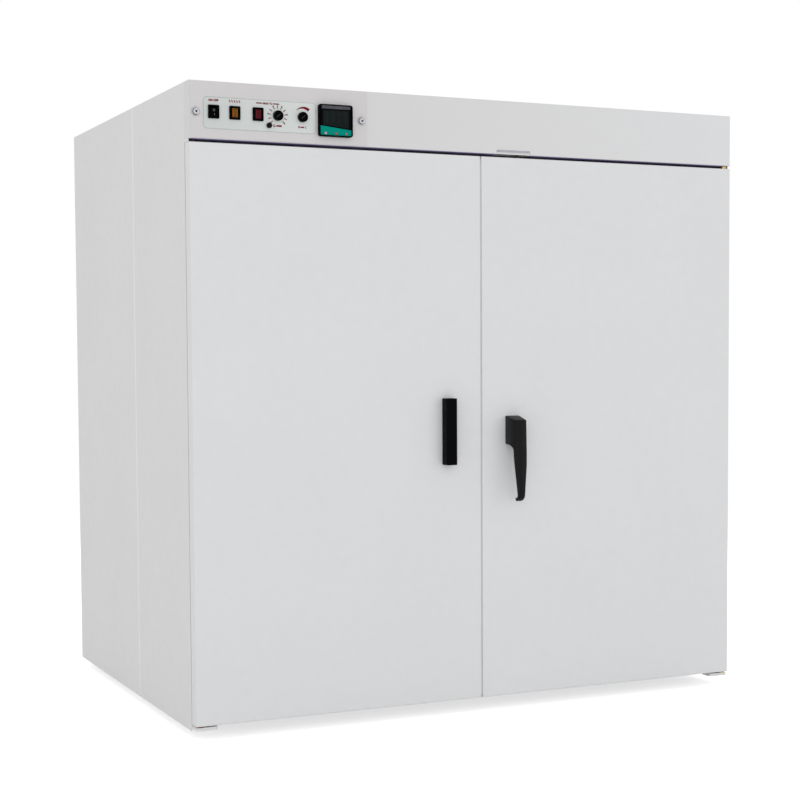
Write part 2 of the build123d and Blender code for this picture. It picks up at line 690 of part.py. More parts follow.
def make_chamber_liner():
    """The open-fronted stainless box, with holes for the fan shaft and the vent duct."""
    outer = block(
        (-CHAMBER_HALF - LINER_SHEET, CHAMBER_HALF + LINER_SHEET),
        (FRAME_FRONT, CHAMBER_BACK + LINER_SHEET),
        (CHAMBER_LOW - LINER_SHEET, CHAMBER_HIGH + LINER_SHEET),
    )
    inside = block(
        (-CHAMBER_HALF, CHAMBER_HALF), (FRAME_FRONT - SHEET, CHAMBER_BACK), (CHAMBER_LOW, CHAMBER_HIGH)
    )
    rear_wall = (CHAMBER_BACK - SHEET, CHAMBER_BACK + 2 * SHEET)
    roof = (CHAMBER_HIGH - SHEET, CHAMBER_HIGH + 2 * SHEET)
    shaft_hole = bar_y(0, CHAMBER_MIDDLE, rear_wall, SHAFT_HOLE_RADIUS)
    duct_hole = bar_z(VENT_X, DUCT_Y, roof, DUCT_RADIUS + FREE_CLEARANCE)
    return outer - inside - shaft_hole - duct_hole


def make_insulation():
    """Five mineral wool slabs packed round the liner, each cut straight."""
    outer_x = CABINET_WIDTH / 2 - SHEET - SIDE_AIR_GAP
    liner_x = CHAMBER_HALF + LINER_SHEET
    low = PAN_TOP
    liner_low = CHAMBER_LOW - LINER_SHEET
    liner_high = CHAMBER_HIGH + LINER_SHEET
    depth = (FRAME_BACK, SLAB_BACK)
    floor = block((-outer_x, outer_x), depth, (low, liner_low))
    roof = block((-outer_x, outer_x), depth, (liner_high, SLAB_TOP))
    duct_z = (liner_high - OVERCUT, SLAB_TOP + OVERCUT)
    roof -= bar_z(VENT_X, DUCT_Y, duct_z, DUCT_RADIUS + FREE_CLEARANCE)
    side = block((liner_x, outer_x), depth, (liner_low, liner_high))
    rear = block((-liner_x, liner_x), (CHAMBER_BACK + LINER_SHEET, SLAB_BACK), (liner_low, liner_high))
    rear -= bar_y(0, CHAMBER_MIDDLE, (CHAMBER_BACK, SLAB_BACK + OVERCUT), SHAFT_HOLE_RADIUS)
    return [floor, roof, side, mirrored(side), rear]


def make_rear_baffle():
    """A perforated sheet in front of the fan, with edges folded back to the rear wall."""
    half = CHAMBER_HALF - BAFFLE_MARGIN
    low = CHAMBER_LOW + BAFFLE_MARGIN
    high = CHAMBER_HIGH - BAFFLE_MARGIN
    tray = block((-half, half), (BAFFLE_FRONT, CHAMBER_BACK), (low, high))
    tray -= block(
        (LINER_SHEET - half, half - LINER_SHEET),
        (BAFFLE_FRONT + LINER_SHEET, CHAMBER_BACK + LINER_SHEET),
        (low + LINER_SHEET, high - LINER_SHEET),
    )
    holes = Pos(0, CHAMBER_MIDDLE) * Circle(BAFFLE_HOLE_RADIUS)
    for ring in (1, 2):
        radius = ring * IMPELLER_EYE_RADIUS / 2
        count = ring * BAFFLE_RING_HOLES // 2
        holes += Pos(0, CHAMBER_MIDDLE) * PolarLocations(radius, count) * Circle(BAFFLE_HOLE_RADIUS)
    slot = SlotOverall(BAFFLE_SLOT_LENGTH, BAFFLE_SLOT_WIDTH)
    slot_pitch = (high - low) / (BAFFLE_SLOTS + 1)
    for index in range(BAFFLE_SLOTS):
        for x in (BAFFLE_SLOT_INSET - half, half - BAFFLE_SLOT_INSET):
            holes += Pos(x, low + slot_pitch * (index + 1)) * slot
    tray -= front_plate(holes, (BAFFLE_FRONT - LINER_SHEET, BAFFLE_FRONT + 2 * LINER_SHEET))
    return tray


def make_temperature_probe():
    """A rod sensor screwed into the rear wall beside the baffle, its tip in the chamber."""
    z = CHAMBER_LOW + PROBE_HEIGHT
    sheath = bar_y(PROBE_X, z, (BAFFLE_FRONT - PROBE_REACH, CHAMBER_BACK), PROBE_RADIUS)
    hexagon = Pos(PROBE_X, z) * RegularPolygon(PROBE_BOSS_RADIUS, 6)
    return sheath + front_plate(hexagon, (CHAMBER_BACK - PROBE_BOSS_LENGTH, CHAMBER_BACK))


def make_heating_element():
    """A round tubular element about the fan, on two legs with a plate on the rear wall."""
    y = CHAMBER_BACK - IMPELLER_WALL_GAP - IMPELLER_WIDTH / 2
    gap = math.asin((HEATER_LEG_SPREAD / 2 + HEATER_BEND) / HEATER_RADIUS)
    end = Vector(HEATER_RADIUS * math.sin(gap), y, CHAMBER_MIDDLE + HEATER_RADIUS * math.cos(gap))
    towards_leg = Vector(-math.cos(gap), 0, math.sin(gap))
    centre = end + Vector(0, HEATER_BEND, 0)
    middle = centre + (towards_leg + Vector(0, -1, 0)) * (HEATER_BEND / math.sqrt(2))
    leg = centre + towards_leg * HEATER_BEND
    wall = Vector(leg.X, CHAMBER_BACK - LINER_SHEET, leg.Z)
    half_path = Line(wall, leg) + ThreePointArc(leg, middle, end)
    ring = ThreePointArc(end, (0, y, CHAMBER_MIDDLE - HEATER_RADIUS), (-end.X, end.Y, end.Z))
    path = half_path + ring + mirror(half_path, about=Plane.YZ)
    section = Plane(origin=wall, z_dir=(0, -1, 0)) * Circle(HEATER_TUBE_RADIUS)
    element = sweep(section, path=path)
    margin = 2.5 * HEATER_TUBE_RADIUS
    plate_y = (CHAMBER_BACK - 2 * LINER_SHEET, CHAMBER_BACK)
    return element + block((-leg.X - margin, leg.X + margin), plate_y, (leg.Z - margin, leg.Z + margin))


def make_fan_impeller():
    """A centrifugal wheel: back disc, leaning blades, a ring round the eye and a hub."""
    back = CHAMBER_BACK - IMPELLER_WALL_GAP
    front = back - IMPELLER_WIDTH
    disc = Pos(0, CHAMBER_MIDDLE) * Circle(IMPELLER_RADIUS)
    eye = Pos(0, CHAMBER_MIDDLE) * Circle(IMPELLER_EYE_RADIUS)
    wheel = front_plate(disc, (back - IMPELLER_SHEET, back))
    wheel += front_plate(disc - eye, (front, front + IMPELLER_SHEET))
    hub = Pos(0, CHAMBER_MIDDLE) * Circle(IMPELLER_HUB_RADIUS)
    wheel += front_plate(hub, (front + IMPELLER_HUB_SETBACK, back))
    sweep_back = math.radians(BLADE_SWEEP)
    outer_radius = IMPELLER_RADIUS - IMPELLER_SHEET
    blade_end = (outer_radius * math.cos(sweep_back), outer_radius * math.sin(sweep_back))
    blade_start = (IMPELLER_EYE_RADIUS + IMPELLER_SHEET, 0)
    blade = trace(RadiusArc(blade_start, blade_end, BLADE_CURVE), IMPELLER_SHEET)
    for index in range(IMPELLER_BLADES):
        turned = Pos(0, CHAMBER_MIDDLE) * Rot(0, 0, 360 / IMPELLER_BLADES * index) * blade
        wheel += front_plate(turned, (front + IMPELLER_SHEET / 2, back - IMPELLER_SHEET / 2))
    bore_radius = FAN_SHAFT_RADIUS + RUNNING_CLEARANCE / 2
    bore = bar_y(0, CHAMBER_MIDDLE, (front, back + IMPELLER_SHEET), bore_radius)
    return wheel - bore


def make_fan_shaft():
    """The motor's shaft, through the insulation to the impeller's hub."""
    front = CHAMBER_BACK - IMPELLER_WALL_GAP - IMPELLER_WIDTH
    end = SLAB_BACK + SHAFT_ENGAGEMENT
    return bar_y(0, CHAMBER_MIDDLE, (front, end), FAN_SHAFT_RADIUS)


def make_fan_motor():
    """A round motor on a square plate behind the rear insulation."""
    half = MOTOR_PLATE / 2
    plate_back = SLAB_BACK + MOTOR_PLATE_THICKNESS
    z = (CHAMBER_MIDDLE - half, CHAMBER_MIDDLE + half)
    plate = front_plate(rounded((-half, half), z, MOTOR_PLATE / 12), (SLAB_BACK, plate_back))
    can = bar_y(0, CHAMBER_MIDDLE, (plate_back, plate_back + MOTOR_LENGTH), MOTOR_RADIUS)
    can = fillet(can.edges().group_by(Axis.Y)[-1], MOTOR_RADIUS / 8)
    bore_end = SLAB_BACK + SHAFT_ENGAGEMENT + SHAFT_END_CLEARANCE
    bore = bar_y(0, CHAMBER_MIDDLE, (SLAB_BACK - OVERCUT, bore_end), FAN_SHAFT_RADIUS + RUNNING_CLEARANCE)
    return plate + can - bore


def make_shelf_runners():
    """A ladder on each side wall: two uprights and an angle ledge under each shelf."""
    wall = CHAMBER_HALF
    start = RUNNER_FRONT
    end = BAFFLE_FRONT - SHELF_REAR_CLEARANCE
    upright_z = (CHAMBER_LOW + RUNNER_END_GAP, CHAMBER_HIGH - RUNNER_END_GAP)
    ladder = block((wall - RUNNER_THICKNESS, wall), (start, start + RUNNER_WIDTH), upright_z)
    ladder += block((wall - RUNNER_THICKNESS, wall), (end - RUNNER_WIDTH, end), upright_z)
    face = wall - RUNNER_THICKNESS
    for height in SHELF_HEIGHTS:
        top = CHAMBER_LOW + height
        ladder += block((face - LEDGE_SHEET, face), (start, end), (top - LEDGE_SHEET, top + LEDGE_SIZE))
        ladder += block((face - LEDGE_SIZE, face), (start, end), (top - LEDGE_SHEET, top))
    return [ladder, mirrored(ladder)]


def make_shelf(height):
    """A welded wire grid: a rod frame with rounded corners, cross rods and close wires."""
    z = CHAMBER_LOW + height + FREE_CLEARANCE + SHELF_ROD_RADIUS
    half = CHAMBER_HALF - RUNNER_THICKNESS - LEDGE_SHEET - SHELF_SIDE_CLEARANCE - SHELF_ROD_RADIUS
    front = RUNNER_FRONT + SHELF_ROD_RADIUS
    back = BAFFLE_FRONT - SHELF_REAR_CLEARANCE - SHELF_ROD_RADIUS
    corner = SHELF_CORNER
    straight_x = (corner - half, half - corner)
    straight_y = (front + corner, back - corner)
    shelf = Part()
    for x in (-half, half):
        shelf += bar_y(x, z, (straight_y[0], straight_y[1]), SHELF_ROD_RADIUS)
    for y in (front, back):
        shelf += bar_x(y, z, (straight_x[0], straight_x[1]), SHELF_ROD_RADIUS)
    bend = revolve(Plane.XZ * Pos(corner, 0) * Circle(SHELF_ROD_RADIUS), Axis.Z, 90)
    corners = (
        (straight_x[1], straight_y[1], 0),
        (straight_x[0], straight_y[1], 90),
        (straight_x[0], straight_y[0], 180),
        (straight_x[1], straight_y[0], 270),
    )
    for x, y, turn in corners:
        shelf += Pos(x, y, z) * Rot(0, 0, turn) * bend
    step = 2 * half / (SHELF_WIRES + 1)
    for index in range(SHELF_WIRES):
        x = step * (index + 1) - half
        shelf += bar_y(x, z, (front, back), SHELF_WIRE_RADIUS)
    return shelf


def make_door_seal():
    """A flat silicone ring on the frame round the chamber's mouth."""
    back = FRAME_FRONT
    front = DOOR_BACK - SHEET + SEAL_CLEARANCE
    inner = CHAMBER_HALF + SEAL_INSET
    outer = inner + SEAL_WIDTH
    low = CHAMBER_LOW - SEAL_INSET
    high = CHAMBER_HIGH + SEAL_INSET
    ring = rounded((-outer, outer), (low - SEAL_WIDTH, high + SEAL_WIDTH), SEAL_WIDTH * 1.5)
    ring -= rounded((-inner, inner), (low, high), SEAL_WIDTH / 2)
    return front_plate(ring, (front, back))


# Doors


def door_span():
    """The right door's extent in X."""
    return (SEAM_GAP / 2, RIGHT)


def make_door_skin():
    """The right door's outer pan: face, four flanges and a lip at the back, open along the seam."""
    x = door_span()
    pan = block(x, (FRONT, DOOR_BACK), (DOOR_LOW, DOOR_HIGH))
    hinge_side = pan.edges().filter_by(Axis.Z).group_by(Axis.Y)[-1].sort_by(Axis.X)[-1]
    pan = fillet(hinge_side, DOOR_BACK_RADIUS)
    pan = fillet(pan.faces().sort_by(Axis.Y)[0].edges(), BEND_RADIUS)
    inside_z = (DOOR_LOW + SHEET, DOOR_HIGH - SHEET)
    pan -= block((x[0] + SHEET, x[1] - SHEET), (FRONT + SHEET, DOOR_BACK - SHEET), inside_z)
    pan -= block(
        (x[0] - SHEET, x[1] - DOOR_LIP),
        (DOOR_BACK - SHEET, DOOR_BACK + SHEET),
        (DOOR_LOW + DOOR_LIP, DOOR_HIGH - DOOR_LIP),
    )
    pin_hole = HINGE_PIN_RADIUS + RUNNING_CLEARANCE
    for z in (DOOR_LOW, DOOR_HIGH):
        pan -= bar_z(HINGE_X, HINGE_Y, (z - 2 * SHEET, z + 2 * SHEET), pin_hole)
    return pan


def make_right_door_skin():
    """The right skin, with the spindle's hole and the slot that the latch rod rises through."""
    skin = make_door_skin()
    spindle_hole = SPINDLE_RADIUS + RUNNING_CLEARANCE
    skin -= bar_y(LEVER_INSET, GRIP_Z, (FRONT - SHEET, FRONT + 2 * SHEET), spindle_hole)
    return skin - block(
        (ROD_LEFT - FREE_CLEARANCE, ROD_RIGHT + FREE_CLEARANCE),
        (GEAR_FRONT - FREE_CLEARANCE, GEAR_BACK + FREE_CLEARANCE),
        (DOOR_HIGH - 2 * SHEET, DOOR_HIGH + SHEET),
    )


def plug_solid(inset, y):
    """The right door's pressed plug, drawn in by an inset, between two Y values."""
    x = (PLUG_SEAM_GAP / 2 + inset, CHAMBER_HALF - PLUG_CLEARANCE - inset)
    z = (CHAMBER_LOW + PLUG_CLEARANCE + inset, CHAMBER_HIGH - PLUG_CLEARANCE - inset)
    return front_plate(rounded(x, z, PLUG_RADIUS - inset), y)


def make_door_liner():
    """The right door's inner sheet, pressed out into a plug that enters the chamber's mouth."""
    x = door_span()
    margin = SHEET + FREE_CLEARANCE
    sheet_y = (DOOR_BACK - SHEET - LINER_SHEET, DOOR_BACK - SHEET)
    liner = block(
        (x[0] + margin, x[1] - margin), sheet_y, (DOOR_LOW + margin, DOOR_HIGH - margin)
    )
    liner += plug_solid(0, (sheet_y[0], PLUG_BACK))
    return liner - plug_solid(LINER_SHEET, (sheet_y[0] - OVERCUT, PLUG_BACK - LINER_SHEET))


def make_door_insulation():
    """The wool slab that fills the right door's plug."""
    return plug_solid(LINER_SHEET, (FRONT + MECHANISM_DEPTH, PLUG_BACK - LINER_SHEET))


def make_centre_seal():
    """A silicone strip on the left plug's edge, which closes the gap between the plugs."""
    start = -PLUG_SEAM_GAP / 2
    y = (DOOR_BACK + FREE_CLEARANCE, PLUG_BACK - PLUG_RADIUS / 2)
    z = (CHAMBER_LOW + PLUG_CLEARANCE + PLUG_RADIUS, CHAMBER_HIGH - PLUG_CLEARANCE - PLUG_RADIUS)
    strip = block((start, start + CENTRE_SEAL_WIDTH), y, z)
    return fillet(strip.edges().filter_by(Axis.Z).group_by(Axis.X)[-1], CENTRE_SEAL_WIDTH / 3)


def make_left_pull():
    """A moulded bar with a finger groove along the side that faces away from the seam's left."""
    x = (-PULL_INSET - PULL_WIDTH / 2, PULL_WIDTH / 2 - PULL_INSET)
    z = (GRIP_Z - PULL_LENGTH / 2, GRIP_Z + PULL_LENGTH / 2)
    bar = block(x, (FRONT - PULL_DEPTH, FRONT), z)
    bar = fillet(bar.edges().filter_by(Axis.Z).group_by(Axis.Y)[0], PULL_DEPTH / 8)
    bar = fillet(bar.faces().sort_by(Axis.Y)[0].edges().filter_by(Axis.X), PULL_DEPTH / 14)
    groove_z = (z[0] + PULL_END_WALL, z[1] - PULL_END_WALL)
    groove_y = FRONT - PULL_GROOVE_OFFSET
    groove = bar_z(x[1], groove_y, (groove_z[0], groove_z[1]), PULL_GROOVE_RADIUS)
    groove &= block((x[0], x[1] + PULL_WIDTH), (FRONT - PULL_DEPTH, FRONT), groove_z)
    return bar - groove


# Lever and latch


def lever_side_outline():
    """The lever seen from its side: head, thin arm and a tip hooked back towards the door."""
    face = FRONT - FREE_CLEARANCE
    front = FRONT - LEVER_REACH
    head_top = GRIP_Z + LEVER_HEAD_HALF_HEIGHT
    head_low = GRIP_Z - LEVER_HEAD_HALF_HEIGHT
    tip = GRIP_Z - LEVER_DROP
    hook_end = front + LEVER_HOOK
    hook_top = tip + LEVER_HOOK_THICKNESS
    return rounded_outline(
        [
            ((face, head_low), 0),
            ((face, head_top), 0),
            ((front + LEVER_LEAN, head_top - LEVER_TOP_FALL), LEVER_EDGE_RADIUS),
            ((front, tip), LEVER_TIP_RADIUS),
            ((hook_end, tip), LEVER_EDGE_RADIUS / 2),
            ((hook_end, hook_top), LEVER_EDGE_RADIUS / 2),
            ((front + LEVER_ARM_TIP, hook_top), LEVER_HOOK_THICKNESS),
            ((front + LEVER_LEAN / 2 + LEVER_ARM, head_low), LEVER_NECK_RADIUS),
        ]
    )


def make_lever_handle():
    """The moulded lever: its side outline, narrowed towards the face and down to the tip."""
    half_base = LEVER_BASE_WIDTH / 2
    half_face = LEVER_FACE_WIDTH / 2
    half_tip = LEVER_TIP_WIDTH / 2
    x = (LEVER_INSET - half_base, LEVER_INSET + half_base)
    lever = side_plate(lever_side_outline(), x)
    front = FRONT - LEVER_REACH
    plan = make_face(
        Polyline(
            (LEVER_INSET - half_base, FRONT),
            (LEVER_INSET + half_base, FRONT),
            (LEVER_INSET + half_face, front),
            (LEVER_INSET - half_face, front),
            close=True,
        )
    )
    low = GRIP_Z - LEVER_DROP
    high = GRIP_Z + LEVER_HEAD_HALF_HEIGHT
    lever &= plan_plate(plan, (low, high))
    head_low = GRIP_Z - LEVER_HEAD_HALF_HEIGHT
    face = make_face(
        Polyline(
            (LEVER_INSET - half_base, high),
            (LEVER_INSET - half_base, head_low),
            (LEVER_INSET - half_tip, low),
            (LEVER_INSET + half_tip, low),
            (LEVER_INSET + half_base, head_low),
            (LEVER_INSET + half_base, high),
            close=True,
        )
    )
    lever &= front_plate(face, (front, FRONT))
    socket_end = FRONT - SPINDLE_GRIP - FREE_CLEARANCE
    socket = bar_y(LEVER_INSET, GRIP_Z, (socket_end, FRONT), SPINDLE_RADIUS + RUNNING_CLEARANCE)
    return lever - socket


def involute(base_radius, roll):
    """A point on the involute of a circle, at a roll angle in radians."""
    x = base_radius * (math.cos(roll) + roll * math.sin(roll))
    y = base_radius * (math.sin(roll) - roll * math.cos(roll))
    return Vector(x, y)


def pinion_outline():
    """The pinion with involute stub teeth, a gap facing the rack."""
    pressure = math.radians(PRESSURE_ANGLE)
    base_radius = PITCH_RADIUS * math.cos(pressure)
    tip_radius = PITCH_RADIUS + ADDENDUM
    root_radius = PITCH_RADIUS - DEDENDUM
    pitch_half = (math.pi * GEAR_MODULE / 2 - GEAR_BACKLASH) / (2 * PITCH_RADIUS)
    base_half = pitch_half + math.tan(pressure) - pressure
    last_roll = math.sqrt((tip_radius / base_radius) ** 2 - 1)
    steps = 4
    flank = [involute(base_radius, last_roll * index / steps) for index in range(steps + 1)]
    lower = [point.rotate(Axis.Z, -math.degrees(base_half)) for point in flank]
    upper = [Vector(point.X, -point.Y) for point in lower]
    foot_share = root_radius * TOOTH_FOOT_SHARE / base_radius
    root_low = lower[0] * foot_share
    root_high = upper[0] * foot_share
    tooth = make_face(
        Line(root_low, lower[0])
        + Spline(*lower)
        + Line(lower[-1], upper[-1])
        + Spline(*reversed(upper))
        + Line(upper[0], root_high)
        + Line(root_high, root_low)
    )
    outline = Circle(root_radius)
    pitch_angle = 360 / PINION_TEETH
    for index in range(PINION_TEETH):
        outline += Rot(0, 0, pitch_angle * (index + 0.5)) * tooth
    return Pos(LEVER_INSET, GRIP_Z) * outline


def make_lever_spindle():
    """The steel spindle: a stem into the lever, the pinion and a tail in the housing."""
    spindle = bar_y(LEVER_INSET, GRIP_Z, (FRONT - SPINDLE_GRIP, GEAR_BACK), SPINDLE_RADIUS)
    tail_end = GEAR_BACK + FREE_CLEARANCE + HOUSING_WALL
    spindle += bar_y(LEVER_INSET, GRIP_Z, (GEAR_FRONT, tail_end), SPINDLE_TAIL_RADIUS)
    return spindle + front_plate(pinion_outline(), (GEAR_FRONT, GEAR_BACK))


def make_latch_rod():
    """The flat rod with a rack at its lower end and a bevelled tip above the door."""
    pitch = math.pi * GEAR_MODULE
    slope = math.tan(math.radians(PRESSURE_ANGLE))
    tip_half = pitch / 4 - ADDENDUM * slope
    root_half = pitch / 4 + DEDENDUM * slope
    tip_x = LEVER_INSET + PITCH_RADIUS - ADDENDUM
    teeth_below = math.ceil((ROD_TRAVEL + PITCH_RADIUS) / pitch)
    teeth_above = math.ceil(PITCH_RADIUS / pitch)
    foot = GRIP_Z - (teeth_below + 0.5) * pitch
    tip = DOOR_HIGH + ROD_STAND
    bar = make_face(
        Polyline(
            (ROD_LEFT, foot),
            (ROD_RIGHT, foot),
            (ROD_RIGHT, tip - ROD_WIDTH / 3),
            (ROD_RIGHT - ROD_WIDTH / 3, tip),
            (ROD_LEFT + ROD_WIDTH / 3, tip),
            (ROD_LEFT, tip - ROD_WIDTH / 3),
            close=True,
        )
    )
    tooth = make_face(
        Polyline(
            (ROD_LEFT + RACK_TOOTH_FOOT, -root_half),
            (ROD_LEFT, -root_half),
            (tip_x, -tip_half),
            (tip_x, tip_half),
            (ROD_LEFT, root_half),
            (ROD_LEFT + RACK_TOOTH_FOOT, root_half),
            close=True,
        )
    )
    for index in range(-teeth_below, teeth_above + 1):
        bar += Pos(0, GRIP_Z + index * pitch) * tooth
    return front_plate(bar, (GEAR_FRONT, GEAR_BACK))


def make_latch_housing():
    """The box on the skin's inner face that carries the spindle's tail and guides the rod."""
    pocket_radius = PITCH_RADIUS + ADDENDUM + FREE_CLEARANCE * 2
    left = LEVER_INSET - pocket_radius - HOUSING_WALL
    right = ROD_RIGHT + FREE_CLEARANCE + HOUSING_WALL
    z = (GRIP_Z - HOUSING_HALF_HEIGHT, GRIP_Z + HOUSING_HALF_HEIGHT)
    inner_back = GEAR_BACK + FREE_CLEARANCE
    housing = block((left, right), (FRONT + SHEET, inner_back + HOUSING_WALL), z)
    housing -= bar_y(LEVER_INSET, GRIP_Z, (FRONT, inner_back), pocket_radius)
    tooth_tips = LEVER_INSET + PITCH_RADIUS - ADDENDUM - FREE_CLEARANCE
    channel_z = (z[0] - OVERCUT, z[1] + OVERCUT)
    channel_x = (tooth_tips, ROD_RIGHT + FREE_CLEARANCE)
    housing -= block(channel_x, (GEAR_FRONT - FREE_CLEARANCE, inner_back), channel_z)
    tail = SPINDLE_TAIL_RADIUS + RUNNING_CLEARANCE
    return housing - bar_y(LEVER_INSET, GRIP_Z, (FRONT, inner_back + 2 * HOUSING_WALL), tail)


# Controls


def plate_screw_places():
    """X places of the control plate's two screws."""
    return (LEFT + PLATE_SCREW_INSET, LEFT + PLATE_WIDTH - PLATE_SCREW_INSET)


def bezel_places():
    """X places of the rocker and the two lamps."""
    return (SWITCH_X, AMBER_X, RED_X)


def control_holes():
    """The outline of every hole that the controls need in the plate, in X and Z."""
    body_half = BEZEL_WIDTH / 2 - BEZEL_WALL / 2
    body_rise = BEZEL_HEIGHT / 2 - BEZEL_WALL / 2
    z = TOP - SWITCH_DROP
    holes = Sketch()
    for x in bezel_places():
        holes += rounded((x - body_half, x + body_half), (z - body_rise, z + body_rise), CUTOUT_RADIUS)
    pin = Circle(SPINDLE_PIN_RADIUS + RUNNING_CLEARANCE)
    holes += Pos(THERMOSTAT_X, TOP - THERMOSTAT_DROP) * pin
    holes += Pos(VENT_X, TOP - VENT_DROP) * pin
    holes += Pos(*reset_place()) * Circle(RESET_RADIUS + RUNNING_CLEARANCE)
    half = CONTROLLER_BODY / 2 + FREE_CLEARANCE
    x = (CONTROLLER_X - half, CONTROLLER_X + half)
    z = TOP - CONTROLLER_DROP
    return holes + rounded(x, (z - half, z + half), CUTOUT_RADIUS)


def reset_place():
    """X and Z of the reset button, beside and below the thermostat's knob."""
    return (THERMOSTAT_X + RESET_OFFSET_X, TOP - THERMOSTAT_DROP + RESET_OFFSET_Z)


def make_control_plate():
    """The plate that carries the controls and covers the fascia's window."""
    z = (FASCIA_BOTTOM + PLATE_MARGIN, TOP - PLATE_MARGIN)
    outline = rounded((LEFT + PLATE_MARGIN, LEFT + PLATE_WIDTH), z, PLATE_MARGIN)
    outline -= control_holes()
    for x in plate_screw_places():
        outline -= Pos(x, TOP - PLATE_SCREW_DROP) * Circle(PLATE_SCREW_RADIUS + FREE_CLEARANCE)
    return front_plate(outline, (PLATE_FRONT, FRONT))


def make_control_label():
    """The printed film on the plate, with the same holes."""
    middle = TOP - LABEL_DROP
    z = (middle - LABEL_HEIGHT / 2, middle + LABEL_HEIGHT / 2)
    start = LEFT + PLATE_WIDTH * LABEL_START_SHARE
    end = LEFT + PLATE_WIDTH * LABEL_END_SHARE
    outline = rounded((start, end), z, LABEL_RADIUS)
    return front_plate(outline - control_holes(), (LABEL_FRONT, PLATE_FRONT))


def make_plate_screws():
    """Two socket cap screws through the plate into the fascia."""
    screws = []
    z = TOP - PLATE_SCREW_DROP
    for x in plate_screw_places():
        head_front = PLATE_FRONT - PLATE_SCREW_HEAD_HEIGHT
        head = bar_y(x, z, (head_front, PLATE_FRONT), PLATE_SCREW_HEAD_RADIUS)
        head = fillet(head.edges().group_by(Axis.Y)[0], PLATE_SCREW_HEAD_HEIGHT / 8)
        socket = Pos(x, z) * RegularPolygon(PLATE_SCREW_SOCKET_RADIUS, 6)
        head -= front_plate(socket, (head_front - OVERCUT, head_front + PLATE_SCREW_HEAD_HEIGHT / 2))
        screws.append(head + bar_y(x, z, (PLATE_FRONT, FRONT + 4 * SHEET), PLATE_SCREW_RADIUS))
    return screws


def make_bezel(x, side_wall, end_wall):
    """One snap-in housing, open at the front for a rocker or a lens."""
    z = TOP - SWITCH_DROP
    half = BEZEL_WIDTH / 2
    rise = BEZEL_HEIGHT / 2
    front = LABEL_FRONT - BEZEL_PROUD
    back = LABEL_FRONT + BEZEL_BODY_DEPTH
    rim = rounded((x - half, x + half), (z - rise, z + rise), BEZEL_RADIUS)
    bezel = front_plate(rim, (front, LABEL_FRONT))
    inset = BEZEL_WALL / 2 + FREE_CLEARANCE
    body_x = (x - half + inset, x + half - inset)
    body_z = (z - rise + inset, z + rise - inset)
    bezel += block(body_x, (LABEL_FRONT, back), body_z)
    pocket_x = (x - half + side_wall, x + half - side_wall)
    pocket_z = (z - rise + end_wall, z + rise - end_wall)
    return bezel - block(pocket_x, (front - OVERCUT, back - BEZEL_FLOOR), pocket_z)


def make_switch_bezels():
    """The housings of the rocker and the two lamps, the lamps' ones with thicker walls."""
    switch = make_bezel(SWITCH_X, BEZEL_WALL, BEZEL_WALL)
    lamps = [make_bezel(x, LAMP_SIDE_WALL, LAMP_END_WALL) for x in (AMBER_X, RED_X)]
    return [switch] + lamps


def make_lens(x):
    """A lens with a slightly domed face, set in its bezel."""
    z = TOP - SWITCH_DROP
    half = BEZEL_WIDTH / 2 - LAMP_SIDE_WALL
    rise = BEZEL_HEIGHT / 2 - LAMP_END_WALL
    front = LABEL_FRONT - BEZEL_PROUD - LENS_PROUD
    back = LABEL_FRONT + BEZEL_BODY_DEPTH - BEZEL_FLOOR
    lens = block((x - half, x + half), (front, back), (z - rise, z + rise))
    return fillet(lens.faces().sort_by(Axis.Y)[0].edges(), LENS_PROUD)


def make_power_rocker():
    """The rocker: two shallow paddles over a round root, with the upper one standing out."""
    half = BEZEL_WIDTH / 2 - BEZEL_WALL - ROCKER_CLEARANCE
    rise = BEZEL_HEIGHT / 2 - BEZEL_WALL - ROCKER_END_CLEARANCE
    end = -ROCKER_PIVOT_DEPTH - ROCKER_END_PROUD
    skirt = end + ROCKER_SKIRT
    outline = make_face(
        Polyline(
            (0, -ROCKER_ROOT_RADIUS),
            (skirt, -rise + ROCKER_CLEARANCE),
            (end, -rise),
            (end + ROCKER_DISH, 0),
            (end, rise),
            (skirt, rise - ROCKER_CLEARANCE),
            (0, ROCKER_ROOT_RADIUS),
        )
        + ThreePointArc((0, ROCKER_ROOT_RADIUS), (ROCKER_ROOT_RADIUS, 0), (0, -ROCKER_ROOT_RADIUS))
    )
    paddle = Rot(ROCKER_TILT, 0, 0) * side_plate(outline, (-half, half))
    pivot_y = LABEL_FRONT - BEZEL_PROUD + ROCKER_PIVOT_DEPTH
    return Pos(SWITCH_X, pivot_y, TOP - SWITCH_DROP) * paddle


def make_knob(x, drop, stem_end):
    """A round knob with a screwdriver slot and a stem through the plate."""
    z = TOP - drop
    back = LABEL_FRONT - FREE_CLEARANCE
    front = back - KNOB_HEIGHT
    knob = bar_y(x, z, (front, back), KNOB_RADIUS)
    knob = fillet(knob.edges().group_by(Axis.Y)[0], KNOB_HEIGHT / 8)
    groove = Rectangle(2 * KNOB_RADIUS + OVERCUT, KNOB_SLOT_WIDTH)
    slot = Pos(x, z) * Rot(0, 0, KNOB_SLOT_ANGLE) * groove
    knob -= front_plate(slot, (front - OVERCUT, front + KNOB_SLOT_DEPTH))
    if stem_end is None:
        socket = SPINDLE_PIN_RADIUS + RUNNING_CLEARANCE / 2
        return knob - bar_y(x, z, (front + KNOB_HEIGHT / 2, back + FREE_CLEARANCE), socket)
    return knob + bar_y(x, z, (back, stem_end), SPINDLE_PIN_RADIUS)


